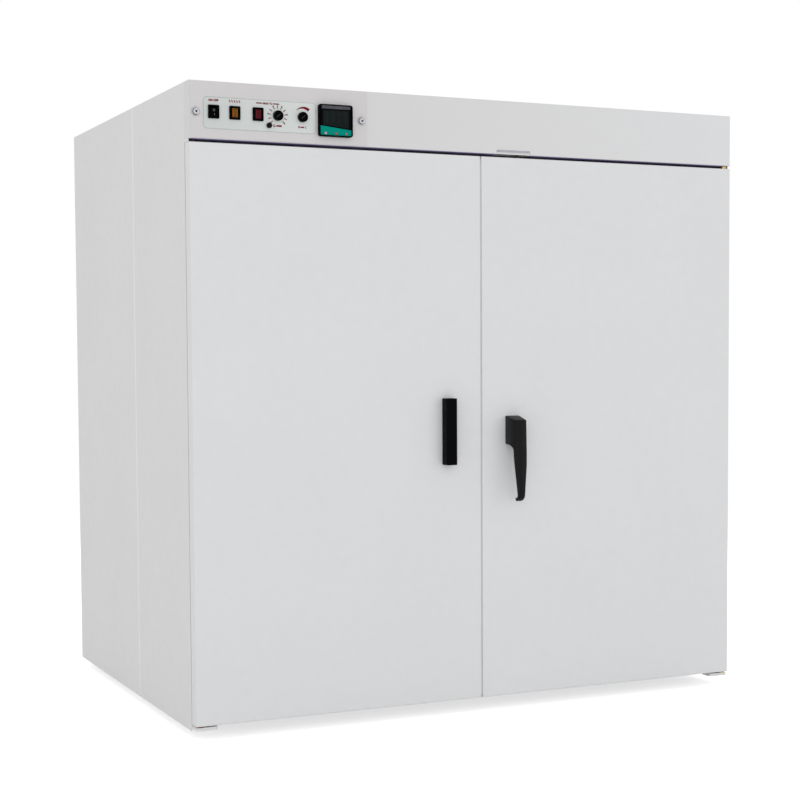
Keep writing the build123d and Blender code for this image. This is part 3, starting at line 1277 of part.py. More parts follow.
def make_thermostat_body():
    """The over-temperature thermostat's case behind the plate, bored for its stem and button."""
    z = TOP - THERMOSTAT_DROP
    half = THERMOSTAT_SIZE / 2
    case_x = (THERMOSTAT_X - half, THERMOSTAT_X + half)
    case = block(case_x, (FRONT, FRONT + THERMOSTAT_DEPTH), (z - half, z + half))
    case = chamfer(case.faces().sort_by(Axis.Y)[-1].edges(), THERMOSTAT_CHAMFER)
    bore = (FRONT - OVERCUT, FRONT + THERMOSTAT_BORE_DEPTH + OVERCUT)
    case -= bar_y(THERMOSTAT_X, z, bore, SPINDLE_PIN_RADIUS + RUNNING_CLEARANCE)
    button = reset_place()
    well = (FRONT - OVERCUT, FRONT + THERMOSTAT_BORE_DEPTH + RESET_TRAVEL + OVERCUT)
    return case - bar_y(button[0], button[1], well, RESET_RADIUS + RUNNING_CLEARANCE)


def make_reset_button():
    """The round reset button, with a rounded front edge."""
    x, z = reset_place()
    button = bar_y(x, z, (LABEL_FRONT - RESET_PROUD, FRONT + THERMOSTAT_BORE_DEPTH), RESET_RADIUS)
    return fillet(button.edges().group_by(Axis.Y)[0], RESET_RADIUS / 5)


def controller_face():
    """Y of the recessed face inside the controller's rim."""
    return PLATE_FRONT - CONTROLLER_PROUD + CONTROLLER_FACE_DEPTH


def key_places():
    """X and Z of the three keys in the band under the window."""
    z = TOP - CONTROLLER_DROP - CONTROLLER_HEIGHT / 2 + KEY_HEIGHT
    return [(CONTROLLER_X + step * KEY_PITCH, z) for step in (-1, 0, 1)]


def make_controller_case():
    """The temperature controller: a raised rim in front of the plate and a deep case behind."""
    x = CONTROLLER_X
    z = TOP - CONTROLLER_DROP
    half = CONTROLLER_WIDTH / 2
    rise = CONTROLLER_HEIGHT / 2
    front = PLATE_FRONT - CONTROLLER_PROUD
    outline = rounded((x - half, x + half), (z - rise, z + rise), CONTROLLER_RADIUS)
    rim = front_plate(outline, (front, PLATE_FRONT))
    rim = fillet(rim.faces().sort_by(Axis.Y)[0].edges(), CONTROLLER_RIM / 2)
    face_x = (x - half + CONTROLLER_RIM, x + half - CONTROLLER_RIM)
    face_z = (z - rise + CONTROLLER_RIM, z + rise - CONTROLLER_TOP_RIM)
    recess = rounded(face_x, face_z, CONTROLLER_RIM / 2)
    rim -= front_plate(recess, (front - OVERCUT, controller_face()))
    body = CONTROLLER_BODY / 2
    body_y = (PLATE_FRONT, PLATE_FRONT + CONTROLLER_BODY_DEPTH)
    rim += block((x - body, x + body), body_y, (z - body, z + body))
    for key_x, key_z in key_places():
        end = controller_face() + KEY_DEPTH + KEY_TRAVEL + KEY_END_GAP
        rim -= bar_y(key_x, key_z, (front, end), KEY_RADIUS + RUNNING_CLEARANCE)
    return rim


def make_controller_window():
    """The dark display window, its lower edge slanted above the band of keys."""
    x = CONTROLLER_X
    half = CONTROLLER_WIDTH / 2 - CONTROLLER_WINDOW_INSET
    bottom = TOP - CONTROLLER_DROP - CONTROLLER_HEIGHT / 2
    top = bottom + CONTROLLER_HEIGHT - CONTROLLER_TOP_RIM
    pane = make_face(
        Polyline(
            (x - half, bottom + KEY_BAND_LEFT_HEIGHT),
            (x + half, bottom + KEY_BAND_RIGHT_HEIGHT),
            (x + half, top),
            (x - half, top),
            close=True,
        )
    )
    face = controller_face()
    return front_plate(pane, (face - CONTROLLER_WINDOW_THICKNESS, face))


def make_key(index):
    """One round key, standing a little above the controller's face."""
    x, z = key_places()[index]
    key = bar_y(x, z, (controller_face() - KEY_PROUD, controller_face() + KEY_DEPTH), KEY_RADIUS)
    return fillet(key.edges().group_by(Axis.Y)[0], KEY_RADIUS / 4)


def make_vent_duct():
    """A tube from the chamber's roof to a collar on the top cover, drilled for the damper's spindle."""
    duct = bar_z(VENT_X, DUCT_Y, (CHAMBER_HIGH, TOP + DUCT_RISE), DUCT_RADIUS)
    duct += bar_z(VENT_X, DUCT_Y, (TOP, TOP + SHEET), DUCT_COLLAR_RADIUS)
    bore_z = (CHAMBER_HIGH - OVERCUT, TOP + DUCT_RISE + OVERCUT)
    duct -= bar_z(VENT_X, DUCT_Y, bore_z, DUCT_RADIUS - DUCT_WALL)
    z = TOP - VENT_DROP
    reach = DUCT_RADIUS + DAMPER_TAIL
    spindle_hole = SPINDLE_PIN_RADIUS + RUNNING_CLEARANCE
    return duct - bar_y(VENT_X, z, (DUCT_Y - reach, DUCT_Y + reach), spindle_hole)


def make_vent_damper():
    """The damper's disc on its long spindle, which ends inside the vent knob."""
    z = TOP - VENT_DROP
    start = LABEL_FRONT - FREE_CLEARANCE - KNOB_HEIGHT / 2
    end = DUCT_Y + DUCT_RADIUS + DAMPER_TAIL
    disc_radius = DUCT_RADIUS - DUCT_WALL - DAMPER_CLEARANCE
    spindle = bar_y(VENT_X, z, (start, end), SPINDLE_PIN_RADIUS)
    half = DAMPER_THICKNESS / 2
    return spindle + bar_z(VENT_X, DUCT_Y, (z - half, z + half), disc_radius)


def make_heater_relay():
    """The heater's relay on its finned block, standing on the roof insulation."""
    x = (RELAY_X - RELAY_LENGTH / 2, RELAY_X + RELAY_LENGTH / 2)
    y = (FRONT + RELAY_SETBACK, FRONT + RELAY_SETBACK + RELAY_WIDTH)
    base_top = SLAB_TOP + RELAY_FIN_THICKNESS * 2
    relay = block(x, y, (SLAB_TOP, base_top))
    pitch = (RELAY_WIDTH - RELAY_FIN_THICKNESS) / (RELAY_FINS - 1)
    for index in range(RELAY_FINS):
        start = y[0] + pitch * index
        relay += block(x, (start, start + RELAY_FIN_THICKNESS), (base_top, base_top + RELAY_FIN_HEIGHT))
    cap_low = base_top + RELAY_FIN_HEIGHT
    return relay + block(x, y, (cap_low, cap_low + RELAY_HEIGHT))


def write(name, shapes):
    """Write one node, either one shape or a list of separate ones."""
    solids = []
    for shape in shapes if isinstance(shapes, list) else [shapes]:
        solids += shape.solids()
    node = solids[0] if len(solids) == 1 else Compound(children=solids)
    export_step(node, f"parts/{name}.step")
    print(name, len(solids))


os.makedirs("parts", exist_ok=True)

front_side = make_front_side_panel()
rear_side = make_rear_side_panel()
right_liner = make_door_liner()
right_wool = make_door_insulation()
write("base_pan", make_base_pan())
write("feet", make_feet())
write("left_front_panel", front_side)
write("right_front_panel", mirrored(front_side))
write("left_rear_panel", rear_side)
write("right_rear_panel", mirrored(rear_side))
write("top_cover", make_top_cover())
write("rear_cover", make_rear_cover())
write("rear_cover_screws", make_rear_cover_screws())
write("cable_gland", make_cable_gland())
write("front_frame", make_front_frame())
write("fascia", make_fascia())
write("hinge_plates", make_hinge_plates())
write("hinge_pins", make_hinge_pins())
write("hinge_washers", make_hinge_washers())
write("catch_magnets", make_catch_magnets())
write("chamber_liner", make_chamber_liner())
write("insulation", make_insulation())
write("rear_baffle", make_rear_baffle())
write("temperature_probe", make_temperature_probe())
write("heating_element", make_heating_element())
write("fan_impeller", make_fan_impeller())
write("fan_shaft", make_fan_shaft())
write("fan_motor", make_fan_motor())
write("shelf_runners", make_shelf_runners())
write("shelf_lower", make_shelf(SHELF_HEIGHTS[0]))
write("shelf_middle", make_shelf(SHELF_HEIGHTS[1]))
write("shelf_upper", make_shelf(SHELF_HEIGHTS[2]))
write("door_seal", make_door_seal())
write("left_door_skin", mirrored(make_door_skin()))
write("left_door_liner", mirrored(right_liner))
write("left_door_insulation", mirrored(right_wool))
write("left_pull", make_left_pull())
write("centre_seal", make_centre_seal())
write("right_door_skin", make_right_door_skin())
write("right_door_liner", right_liner)
write("right_door_insulation", right_wool)
write("lever_handle", make_lever_handle())
write("lever_spindle", make_lever_spindle())
write("latch_rod", make_latch_rod())
write("latch_housing", make_latch_housing())
write("control_plate", make_control_plate())
write("control_label", make_control_label())
write("plate_screws", make_plate_screws())
write("switch_bezels", make_switch_bezels())
write("power_rocker", make_power_rocker())
write("amber_lens", make_lens(AMBER_X))
write("red_lens", make_lens(RED_X))
write("thermostat_body", make_thermostat_body())
write("thermostat_knob", make_knob(THERMOSTAT_X, THERMOSTAT_DROP, FRONT + THERMOSTAT_BORE_DEPTH))
write("reset_button", make_reset_button())
write("controller_case", make_controller_case())
write("controller_window", make_controller_window())
for number, side in enumerate(("left", "middle", "right")):
    write(f"key_{side}", make_key(number))
write("vent_duct", make_vent_duct())
write("vent_knob", make_knob(VENT_X, VENT_DROP, None))
write("vent_damper", make_vent_damper())
write("heater_relay", make_heater_relay())
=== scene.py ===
"""Looks of the laboratory oven: finishes, printed marks, fine detail and the studio."""

import json
import logging
import math
from dataclasses import dataclass
from enum import Enum

import bpy
import numpy as np
from mathutils import Matrix, Vector

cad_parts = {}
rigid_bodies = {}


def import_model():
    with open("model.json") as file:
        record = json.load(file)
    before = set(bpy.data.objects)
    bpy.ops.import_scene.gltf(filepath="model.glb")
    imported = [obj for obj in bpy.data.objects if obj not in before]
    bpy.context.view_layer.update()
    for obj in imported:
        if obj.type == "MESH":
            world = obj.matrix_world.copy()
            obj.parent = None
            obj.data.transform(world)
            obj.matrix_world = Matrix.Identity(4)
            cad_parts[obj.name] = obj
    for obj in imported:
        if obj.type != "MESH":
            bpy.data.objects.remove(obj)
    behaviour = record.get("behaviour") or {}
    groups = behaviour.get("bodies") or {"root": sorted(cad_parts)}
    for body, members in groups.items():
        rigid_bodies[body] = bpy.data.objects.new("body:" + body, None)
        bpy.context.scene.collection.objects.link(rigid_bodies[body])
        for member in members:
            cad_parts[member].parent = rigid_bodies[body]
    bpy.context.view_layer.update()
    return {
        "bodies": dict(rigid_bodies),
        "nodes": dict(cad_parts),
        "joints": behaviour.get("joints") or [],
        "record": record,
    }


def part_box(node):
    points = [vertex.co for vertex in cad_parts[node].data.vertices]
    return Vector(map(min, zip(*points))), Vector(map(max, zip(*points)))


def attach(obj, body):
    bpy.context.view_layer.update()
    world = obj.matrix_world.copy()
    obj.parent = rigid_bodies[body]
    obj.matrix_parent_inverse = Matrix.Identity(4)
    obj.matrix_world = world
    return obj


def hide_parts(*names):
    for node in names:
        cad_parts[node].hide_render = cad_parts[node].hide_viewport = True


# Lengths are in metres, in the shared frame: X to the right, Y away from the viewer, Z up.

LOG = logging.getLogger("oven")
MM = 0.001
SHARP_ANGLE = math.radians(38)
LETTER_BOLDNESS = 0.07
LETTER_THICKNESS = 0.01
LETTER_CURVE_STEPS = 3
SMALLEST_CORNER = 0.2 * MM

Colour = tuple[float, float, float]
Place = tuple[float, float, float]
Pair = tuple[float, float]
Points = np.ndarray | list[Pair]
Mesh = tuple[np.ndarray, list[tuple[int, ...]]]
Socket = bpy.types.NodeSocket
Node = bpy.types.Node
NodeTree = bpy.types.NodeTree
Material = bpy.types.Material


# Node trees

# The colour mixing node's inputs and its output, by index
MIX_FACTOR = 0
MIX_FIRST = 6
MIX_SECOND = 7
MIX_RESULT = 2


def with_alpha(value: object) -> object:
    """A plain colour with full alpha, and anything else as it is."""
    return (*value, 1.0) if isinstance(value, tuple) else value


class Graph:
    """A node tree with short calls for adding nodes and joining them."""

    def __init__(self, tree: NodeTree) -> None:
        """Keep the tree.

        Args:
            tree: The material's, world's or group's node tree.
        """
        self.tree = tree

    def node(self, kind: str, inputs: dict | None = None, **settings: object) -> Node:
        """Add a node.

        Args:
            kind: The node's type name.
            inputs: Values or sockets for its inputs, by name or by index.
            settings: Attributes of the node itself.

        Returns:
            The new node.
        """
        made = self.tree.nodes.new(kind)
        for key, value in settings.items():
            setattr(made, key, value)
        for key, value in (inputs or {}).items():
            if isinstance(value, Socket):
                self.tree.links.new(value, made.inputs[key])
            else:
                made.inputs[key].default_value = value
        return made

    def group(self, tree: NodeTree, inputs: dict) -> Node:
        """Add one of the shared effects, with values or sockets for its inputs."""
        return self.node("ShaderNodeGroup", inputs, node_tree=tree)

    def math(self, operation: str, first: object, second: object) -> Socket:
        """Work out one sum of two values and return its socket."""
        return self.node("ShaderNodeMath", {0: first, 1: second}, operation=operation).outputs[0]

    def spread(self, value: Socket, low: float, high: float) -> Socket:
        """Stretch a value from 0 to 1 so that it runs from low to high."""
        made = self.node("ShaderNodeMapRange", {"Value": value, "To Min": low, "To Max": high})
        return made.outputs["Result"]

    def share(self, value: Socket, start: float, end: float, **settings: object) -> Socket:
        """Turn a value into a share that is 0 up to the start and 1 from the end on."""
        inputs = {"Value": value, "From Min": start, "From Max": end}
        return self.node("ShaderNodeMapRange", inputs, **settings).outputs["Result"]

    def noise(self, place: Socket, scale: object, detail: float, twist: float = 0.0) -> Socket:
        """Add noise.

        Args:
            place: Where it is looked up.
            scale: How many patches there are in a metre, a value or a socket.
            detail: How many finer layers lie on top.
            twist: How much it is distorted.

        Returns:
            The socket of its value.
        """
        inputs = {"Vector": place, "Scale": scale, "Detail": detail, "Distortion": twist}
        return self.node("ShaderNodeTexNoise", inputs).outputs["Fac"]

    def bump(self, height: Socket, distance: object) -> Socket:
        """Turn heights into a normal, the distance being what a height of 1 stands for."""
        made = self.node("ShaderNodeBump", {"Height": height, "Distance": distance})
        return made.outputs["Normal"]

    def axes(self) -> Node:
        """Add a node that gives X, Y and Z of the place on the piece."""
        place = self.node("ShaderNodeTexCoord").outputs["Object"]
        return self.node("ShaderNodeSeparateXYZ", {"Vector": place})

    def mix(self, factor: object, first: object, second: object) -> Socket:
        """Mix two colours.

        Args:
            factor: The share of the second colour, a value or a socket.
            first: The first colour or its socket.
            second: The second colour or its socket.

        Returns:
            The mixed colour's socket.
        """
        inputs = {MIX_FACTOR: factor, MIX_FIRST: with_alpha(first), MIX_SECOND: with_alpha(second)}
        return self.node("ShaderNodeMix", inputs, data_type="RGBA").outputs[MIX_RESULT]


def new_group(
    name: str, inputs: dict[str, str], outputs: dict[str, str]
) -> tuple[Graph, Node, Node]:
    """Start a node group.

    Args:
        name: The group's name.
        inputs: Socket types by input name.
        outputs: Socket types by output name.

    Returns:
        The group's graph, its input node and its output node.
    """
    tree = bpy.data.node_groups.new(name, "ShaderNodeTree")
    for key, kind in inputs.items():
        tree.interface.new_socket(key, in_out="INPUT", socket_type=kind)
    for key, kind in outputs.items():
        tree.interface.new_socket(key, in_out="OUTPUT", socket_type=kind)
    graph = Graph(tree)
    return graph, graph.node("NodeGroupInput"), graph.node("NodeGroupOutput")


FLOAT = "NodeSocketFloat"
VECTOR = "NodeSocketVector"

# How many fine patches there are to a broad one, and the sums of both that become 0 and 1
FINE_TO_BROAD = 9.0
MOTTLE_RANGE = (0.75, 1.25)

# How far a face looks up where dust begins to lie and where it lies fully, and its patches
UPWARD_RANGE = (0.7, 1.0)
DUST_PATCHES = 30.0

# Scratches in a metre, and the noise values between which one shows
SCRATCHES = 60.0
SCRATCH_RANGE = (0.62, 0.68)


class Effects:
    """The effects that several finishes share, each a node group."""

    def __init__(self) -> None:
        """Build every group once."""
        self.mottle = self.make_mottle()
        self.peel = self.make_peel()
        self.grain = self.make_grain()
        self.dust = self.make_dust()
        self.scuffs = self.make_scuffs()

    def make_mottle(self) -> NodeTree:
        """Broad and fine patches together, as a value from 0 to 1.

        Returns:
            The node group.
        """
        sockets = {"Vector": VECTOR, "Scale": FLOAT}
        graph, start, end = new_group("mottle", sockets, {"Value": FLOAT})
        place = start.outputs["Vector"]
        scale = start.outputs["Scale"]
        broad = graph.noise(place, scale, detail=3.0)
        fine = graph.noise(place, graph.math("MULTIPLY", scale, FINE_TO_BROAD), detail=2.0)
        both = graph.math("ADD", broad, fine)
        graph.tree.links.new(graph.share(both, *MOTTLE_RANGE), end.inputs["Value"])
        return graph.tree

    def make_peel(self) -> NodeTree:
        """The soft lumps of sprayed or moulded surfaces, as a normal.

        Returns:
            The node group.
        """
        sockets = {"Vector": VECTOR, "Scale": FLOAT, "Height": FLOAT}
        graph, start, end = new_group("peel", sockets, {"Normal": VECTOR})
        lumps = graph.noise(start.outputs["Vector"], start.outputs["Scale"], detail=2.0)
        normal = graph.bump(lumps, start.outputs["Height"])
        graph.tree.links.new(normal, end.inputs["Normal"])
        return graph.tree

    def make_grain(self) -> NodeTree:
        """Brush lines drawn out along one axis, as a normal.

        Returns:
            The node group.
        """
        sockets = {"Vector": VECTOR, "Stretch": VECTOR, "Height": FLOAT}
        graph, start, end = new_group("grain", sockets, {"Normal": VECTOR})
        stretched = graph.node(
            "ShaderNodeVectorMath",
            {0: start.outputs["Vector"], 1: start.outputs["Stretch"]},
            operation="MULTIPLY",
        )
        lines = graph.noise(stretched.outputs[0], 1.0, detail=4.0)
        normal = graph.bump(lines, start.outputs["Height"])
        graph.tree.links.new(normal, end.inputs["Normal"])
        return graph.tree

    def make_dust(self) -> NodeTree:
        """Dust that settles in patches on faces that look up, as a mask.

        Returns:
            The node group.
        """
        sockets = {"Vector": VECTOR, "Amount": FLOAT}
        graph, start, end = new_group("dust", sockets, {"Mask": FLOAT})
        facing = graph.node("ShaderNodeNewGeometry")
        split = graph.node("ShaderNodeSeparateXYZ", {"Vector": facing.outputs["Normal"]})
        upward = graph.share(split.outputs["Z"], *UPWARD_RANGE)
        patches = graph.noise(start.outputs["Vector"], DUST_PATCHES, detail=5.0)
        settled = graph.math("MULTIPLY", upward, patches)
        amount = graph.math("MULTIPLY", settled, start.outputs["Amount"])
        graph.tree.links.new(amount, end.inputs["Mask"])
        return graph.tree

    def make_scuffs(self) -> NodeTree:
        """Short fine scratches where hands and shelves rub, as a mask.

        Returns:
            The node group.
        """
        sockets = {"Vector": VECTOR, "Amount": FLOAT}
        graph, start, end = new_group("scuffs", sockets, {"Mask": FLOAT})
        lines = graph.noise(start.outputs["Vector"], SCRATCHES, detail=6.0, twist=2.5)
        thin = graph.share(lines, *SCRATCH_RANGE)
        amount = graph.math("MULTIPLY", thin, start.outputs["Amount"])
        graph.tree.links.new(amount, end.inputs["Mask"])
        return graph.tree


# Finishes

DUST_COLOUR: Colour = (0.52, 0.50, 0.47)
SCUFF_COLOUR: Colour = (0.45, 0.45, 0.45)

# Roughness of the darkest and of the palest patches, as a share of the finish's own
ROUGHER = 1.12
SMOOTHER = 0.9


def clear_face(shader: Node, weight: float, roughness: float) -> None:
    """Lay a clear hard face over a surface."""
    shader.inputs["Coat Weight"].default_value = weight
    shader.inputs["Coat Roughness"].default_value = roughness


@dataclass(frozen=True)
class Finish:
    """A surface whose colour and gloss wander a little, as on every real thing.

    Args:
        name: The material's name.
        colour: The main colour.
        shade: The colour of the darker patches.
        roughness: The middle roughness.
        metallic: 1 for bare metal.
        patches: How many patches there are in a metre.
        dust: How much dust lies on top.
        scuffs: How much of it is scratched.
        specular: How strongly it mirrors, 0.5 for usual plastics and paints.
    """

    name: str
    colour: Colour
    shade: Colour
    roughness: float
    metallic: float = 0.0
    patches: float = 6.0
    dust: float = 0.0
    scuffs: float = 0.0
    specular: float = 0.5

    def relief(self, graph: Graph, effects: Effects, place: Socket) -> Socket | None:
        """The fine relief's normal, or None where the surface is smooth."""
        return None

    def extras(self, graph: Graph, shader: Node) -> None:
        """Set what only this kind of surface has."""

    def cover(self, graph: Graph, shader: Node, share: Socket, colour: object) -> None:
        """Mix another colour over the main one.

        Args:
            graph: The material's graph.
            shader: Its surface.
            share: How much of the other colour shows.
            colour: The other colour or its socket.
        """
        base = shader.inputs["Base Color"]
        mixed = graph.mix(share, base.links[0].from_socket, colour)
        graph.tree.links.new(mixed, base)

    def build(self, effects: Effects) -> Material:
        """Make the material.

        Args:
            effects: The shared node groups.

        Returns:
            The material.
        """
        material = bpy.data.materials.new(self.name)
        material.use_nodes = True
        material.node_tree.nodes.clear()
        graph = Graph(material.node_tree)
        place = graph.node("ShaderNodeTexCoord").outputs["Object"]
        patches = graph.group(effects.mottle, {"Vector": place, "Scale": self.patches})
        patch = patches.outputs["Value"]
        colour = graph.mix(patch, self.shade, self.colour)
        if self.scuffs:
            marks = graph.group(effects.scuffs, {"Vector": place, "Amount": self.scuffs})
            colour = graph.mix(marks.outputs["Mask"], colour, SCUFF_COLOUR)
        if self.dust:
            settled = graph.group(effects.dust, {"Vector": place, "Amount": self.dust})
            colour = graph.mix(settled.outputs["Mask"], colour, DUST_COLOUR)
        rough = graph.spread(patch, self.roughness * ROUGHER, self.roughness * SMOOTHER)
        shader = graph.node(
            "ShaderNodeBsdfPrincipled",
            {
                "Base Color": colour,
                "Roughness": rough,
                "Metallic": self.metallic,
                "Specular IOR Level": self.specular,
            },
        )
        normal = self.relief(graph, effects, place)
        if normal is not None:
            graph.tree.links.new(normal, shader.inputs["Normal"])
        self.extras(graph, shader)
        graph.node("ShaderNodeOutputMaterial", {"Surface": shader.outputs["BSDF"]})
        return material


@dataclass(frozen=True)
class Sprayed(Finish):
    """Powder coat or enamel, with orange peel.

    Args:
        peel_scale: How many lumps there are in a metre.
        peel_height: How high they are.
    """

    peel_scale: float = 420.0
    peel_height: float = 0.00006

    def relief(self, graph: Graph, effects: Effects, place: Socket) -> Socket:
        """Orange peel."""
        inputs = {"Vector": place, "Scale": self.peel_scale, "Height": self.peel_height}
        return graph.group(effects.peel, inputs).outputs["Normal"]


@dataclass(frozen=True)
class ShadedTowardsEnd(Sprayed):
    """A coat or film painted darker towards one end of its piece: painted shade, as less light
    falls on that end.

    Args:
        end_shade_colour: The colour of the painted shade at the darker end.
        end_shade_x: Where that end is.
        unshaded_x: Where the coat has its full colour again.
    """

    end_shade_colour: Colour = (0.735, 0.732, 0.735)
    end_shade_x: float = -0.2
    unshaded_x: float = 0.45

    def extras(self, graph: Graph, shader: Node) -> None:
        """Paint shade into the coat towards its end."""
        # Painted shade: the coat darkens towards one end, as less light falls there.
        share = graph.share(graph.axes().outputs["X"], self.unshaded_x, self.end_shade_x)
        self.cover(graph, shader, share, self.end_shade_colour)


@dataclass(frozen=True)
class Moulded(Sprayed):
    """Plastic or rubber, with the fine spark texture of its mould.

    Args:
        sheen: How strong the soft sheen of rubber is.
    """

    peel_scale: float = 1500.0
    peel_height: float = 0.00003
    sheen: float = 0.0

    def extras(self, graph: Graph, shader: Node) -> None:
        """Give soft rubbers their sheen."""
        shader.inputs["Sheen Weight"].default_value = self.sheen


@dataclass(frozen=True)
class Brushed(Finish):
    """Bare sheet or bar, its brush lines drawn out along one axis.

    Args:
        stretch: How many lines there are in a metre along X, Y and Z.
        line_height: How deep they are.
    """

    stretch: Place = (40.0, 900.0, 900.0)
    line_height: float = 0.00002

    def relief(self, graph: Graph, effects: Effects, place: Socket) -> Socket:
        """Brush lines."""
        inputs = {"Vector": place, "Stretch": self.stretch, "Height": self.line_height}
        return graph.group(effects.grain, inputs).outputs["Normal"]


@dataclass(frozen=True)
class SideShaded(Brushed):
    """Bare metal painted darker towards one side of the cabinet: painted shade, where its pieces
    stand in the shade of the gaps.

    Args:
        low_shade: The painted shade's colour near the floor.
        high_shade: The painted shade's colour at the top.
        bright_x: Where it keeps its own colour.
        shaded_x: Where the painted shade covers it all over.
    """

    low_shade: Colour = (0.20, 0.07, 0.055)
    high_shade: Colour = (0.018, 0.012, 0.03)
    bright_x: float = 0.3
    shaded_x: float = -0.3

    def extras(self, graph: Graph, shader: Node) -> None:
        """Paint shade over the metal on its way from one side to the other.

        Args:
            graph: The material's graph.
            shader: Its surface.
        """
        axes = graph.axes()
        share = graph.share(axes.outputs["X"], self.bright_x, self.shaded_x)
        # Painted shade: brown low down, blue-black higher up.
        washer_shade = graph.mix(axes.outputs["Z"], self.low_shade, self.high_shade)
        self.cover(graph, shader, share, washer_shade)


@dataclass(frozen=True)
class GapShaded(Sprayed):
    """Pale enamel painted navy above a level, where it lies behind the gap over the doors: the navy
    is painted shade for that dark gap.

    Args:
        upper: The painted shade's colour above the level.
        level: Where the change begins.
        blend: How far it takes.
    """

    upper: Colour = (0.024, 0.018, 0.045)
    level: float = 0.905
    blend: float = 0.003

    def extras(self, graph: Graph, shader: Node) -> None:
        """Paint the navy shade on above the level."""
        share = graph.share(graph.axes().outputs["Z"], self.level, self.level + self.blend)
        self.cover(graph, shader, share, self.upper)


@dataclass(frozen=True)
class Felted(Finish):
    """Mineral wool or foam, matted and without gloss.

    Args:
        fibre_scale: How many fibres there are in a metre.
        fibre_height: How high they stand.
    """

    fibre_scale: float = 260.0
    fibre_height: float = 0.0012

    def relief(self, graph: Graph, effects: Effects, place: Socket) -> Socket:
        """Matted fibres."""
        fibres = graph.noise(place, self.fibre_scale, detail=6.0, twist=3.0)
        return graph.bump(fibres, self.fibre_height)


@dataclass(frozen=True)
class Lens(Sprayed):
    """Tinted plastic over a dark hollow, lighter where its edges gather light.

    Args:
        edge: The colour at its left and right edges.
        half_width: Half its width.
        plain_share: The share of that half over which the main colour holds.
        centre_x: Where its middle is.
        coat: How strongly its clear face mirrors.
        coat_roughness: The clear face's roughness.
    """

    edge: Colour = (1.0, 0.3, 0.02)
    half_width: float = 4.35 * MM
    plain_share: float = 0.5
    centre_x: float = 0.0
    coat: float = 0.12
    coat_roughness: float = 0.08

    def extras(self, graph: Graph, shader: Node) -> None:
        """Put a clear face on, and a brighter tint towards the left and right edges.

        Args:
            graph: The material's graph.
            shader: Its surface.
        """
        offset = graph.math("SUBTRACT", graph.axes().outputs["X"], self.centre_x)
        distance = graph.math("ABSOLUTE", offset, 0.0)
        share = graph.share(distance, self.half_width * self.plain_share, self.half_width)
        self.cover(graph, shader, share, self.edge)
        clear_face(shader, self.coat, self.coat_roughness)


@dataclass(frozen=True)
class Glazed(Finish):
    """A tinted window with a clear hard face.

    Args:
        coat: How strongly the clear face mirrors.
        coat_roughness: That face's roughness.
    """

    coat: float = 0.05
    coat_roughness: float = 0.05

    def extras(self, graph: Graph, shader: Node) -> None:
        """Put the clear face on."""
        clear_face(shader, self.coat, self.coat_roughness)


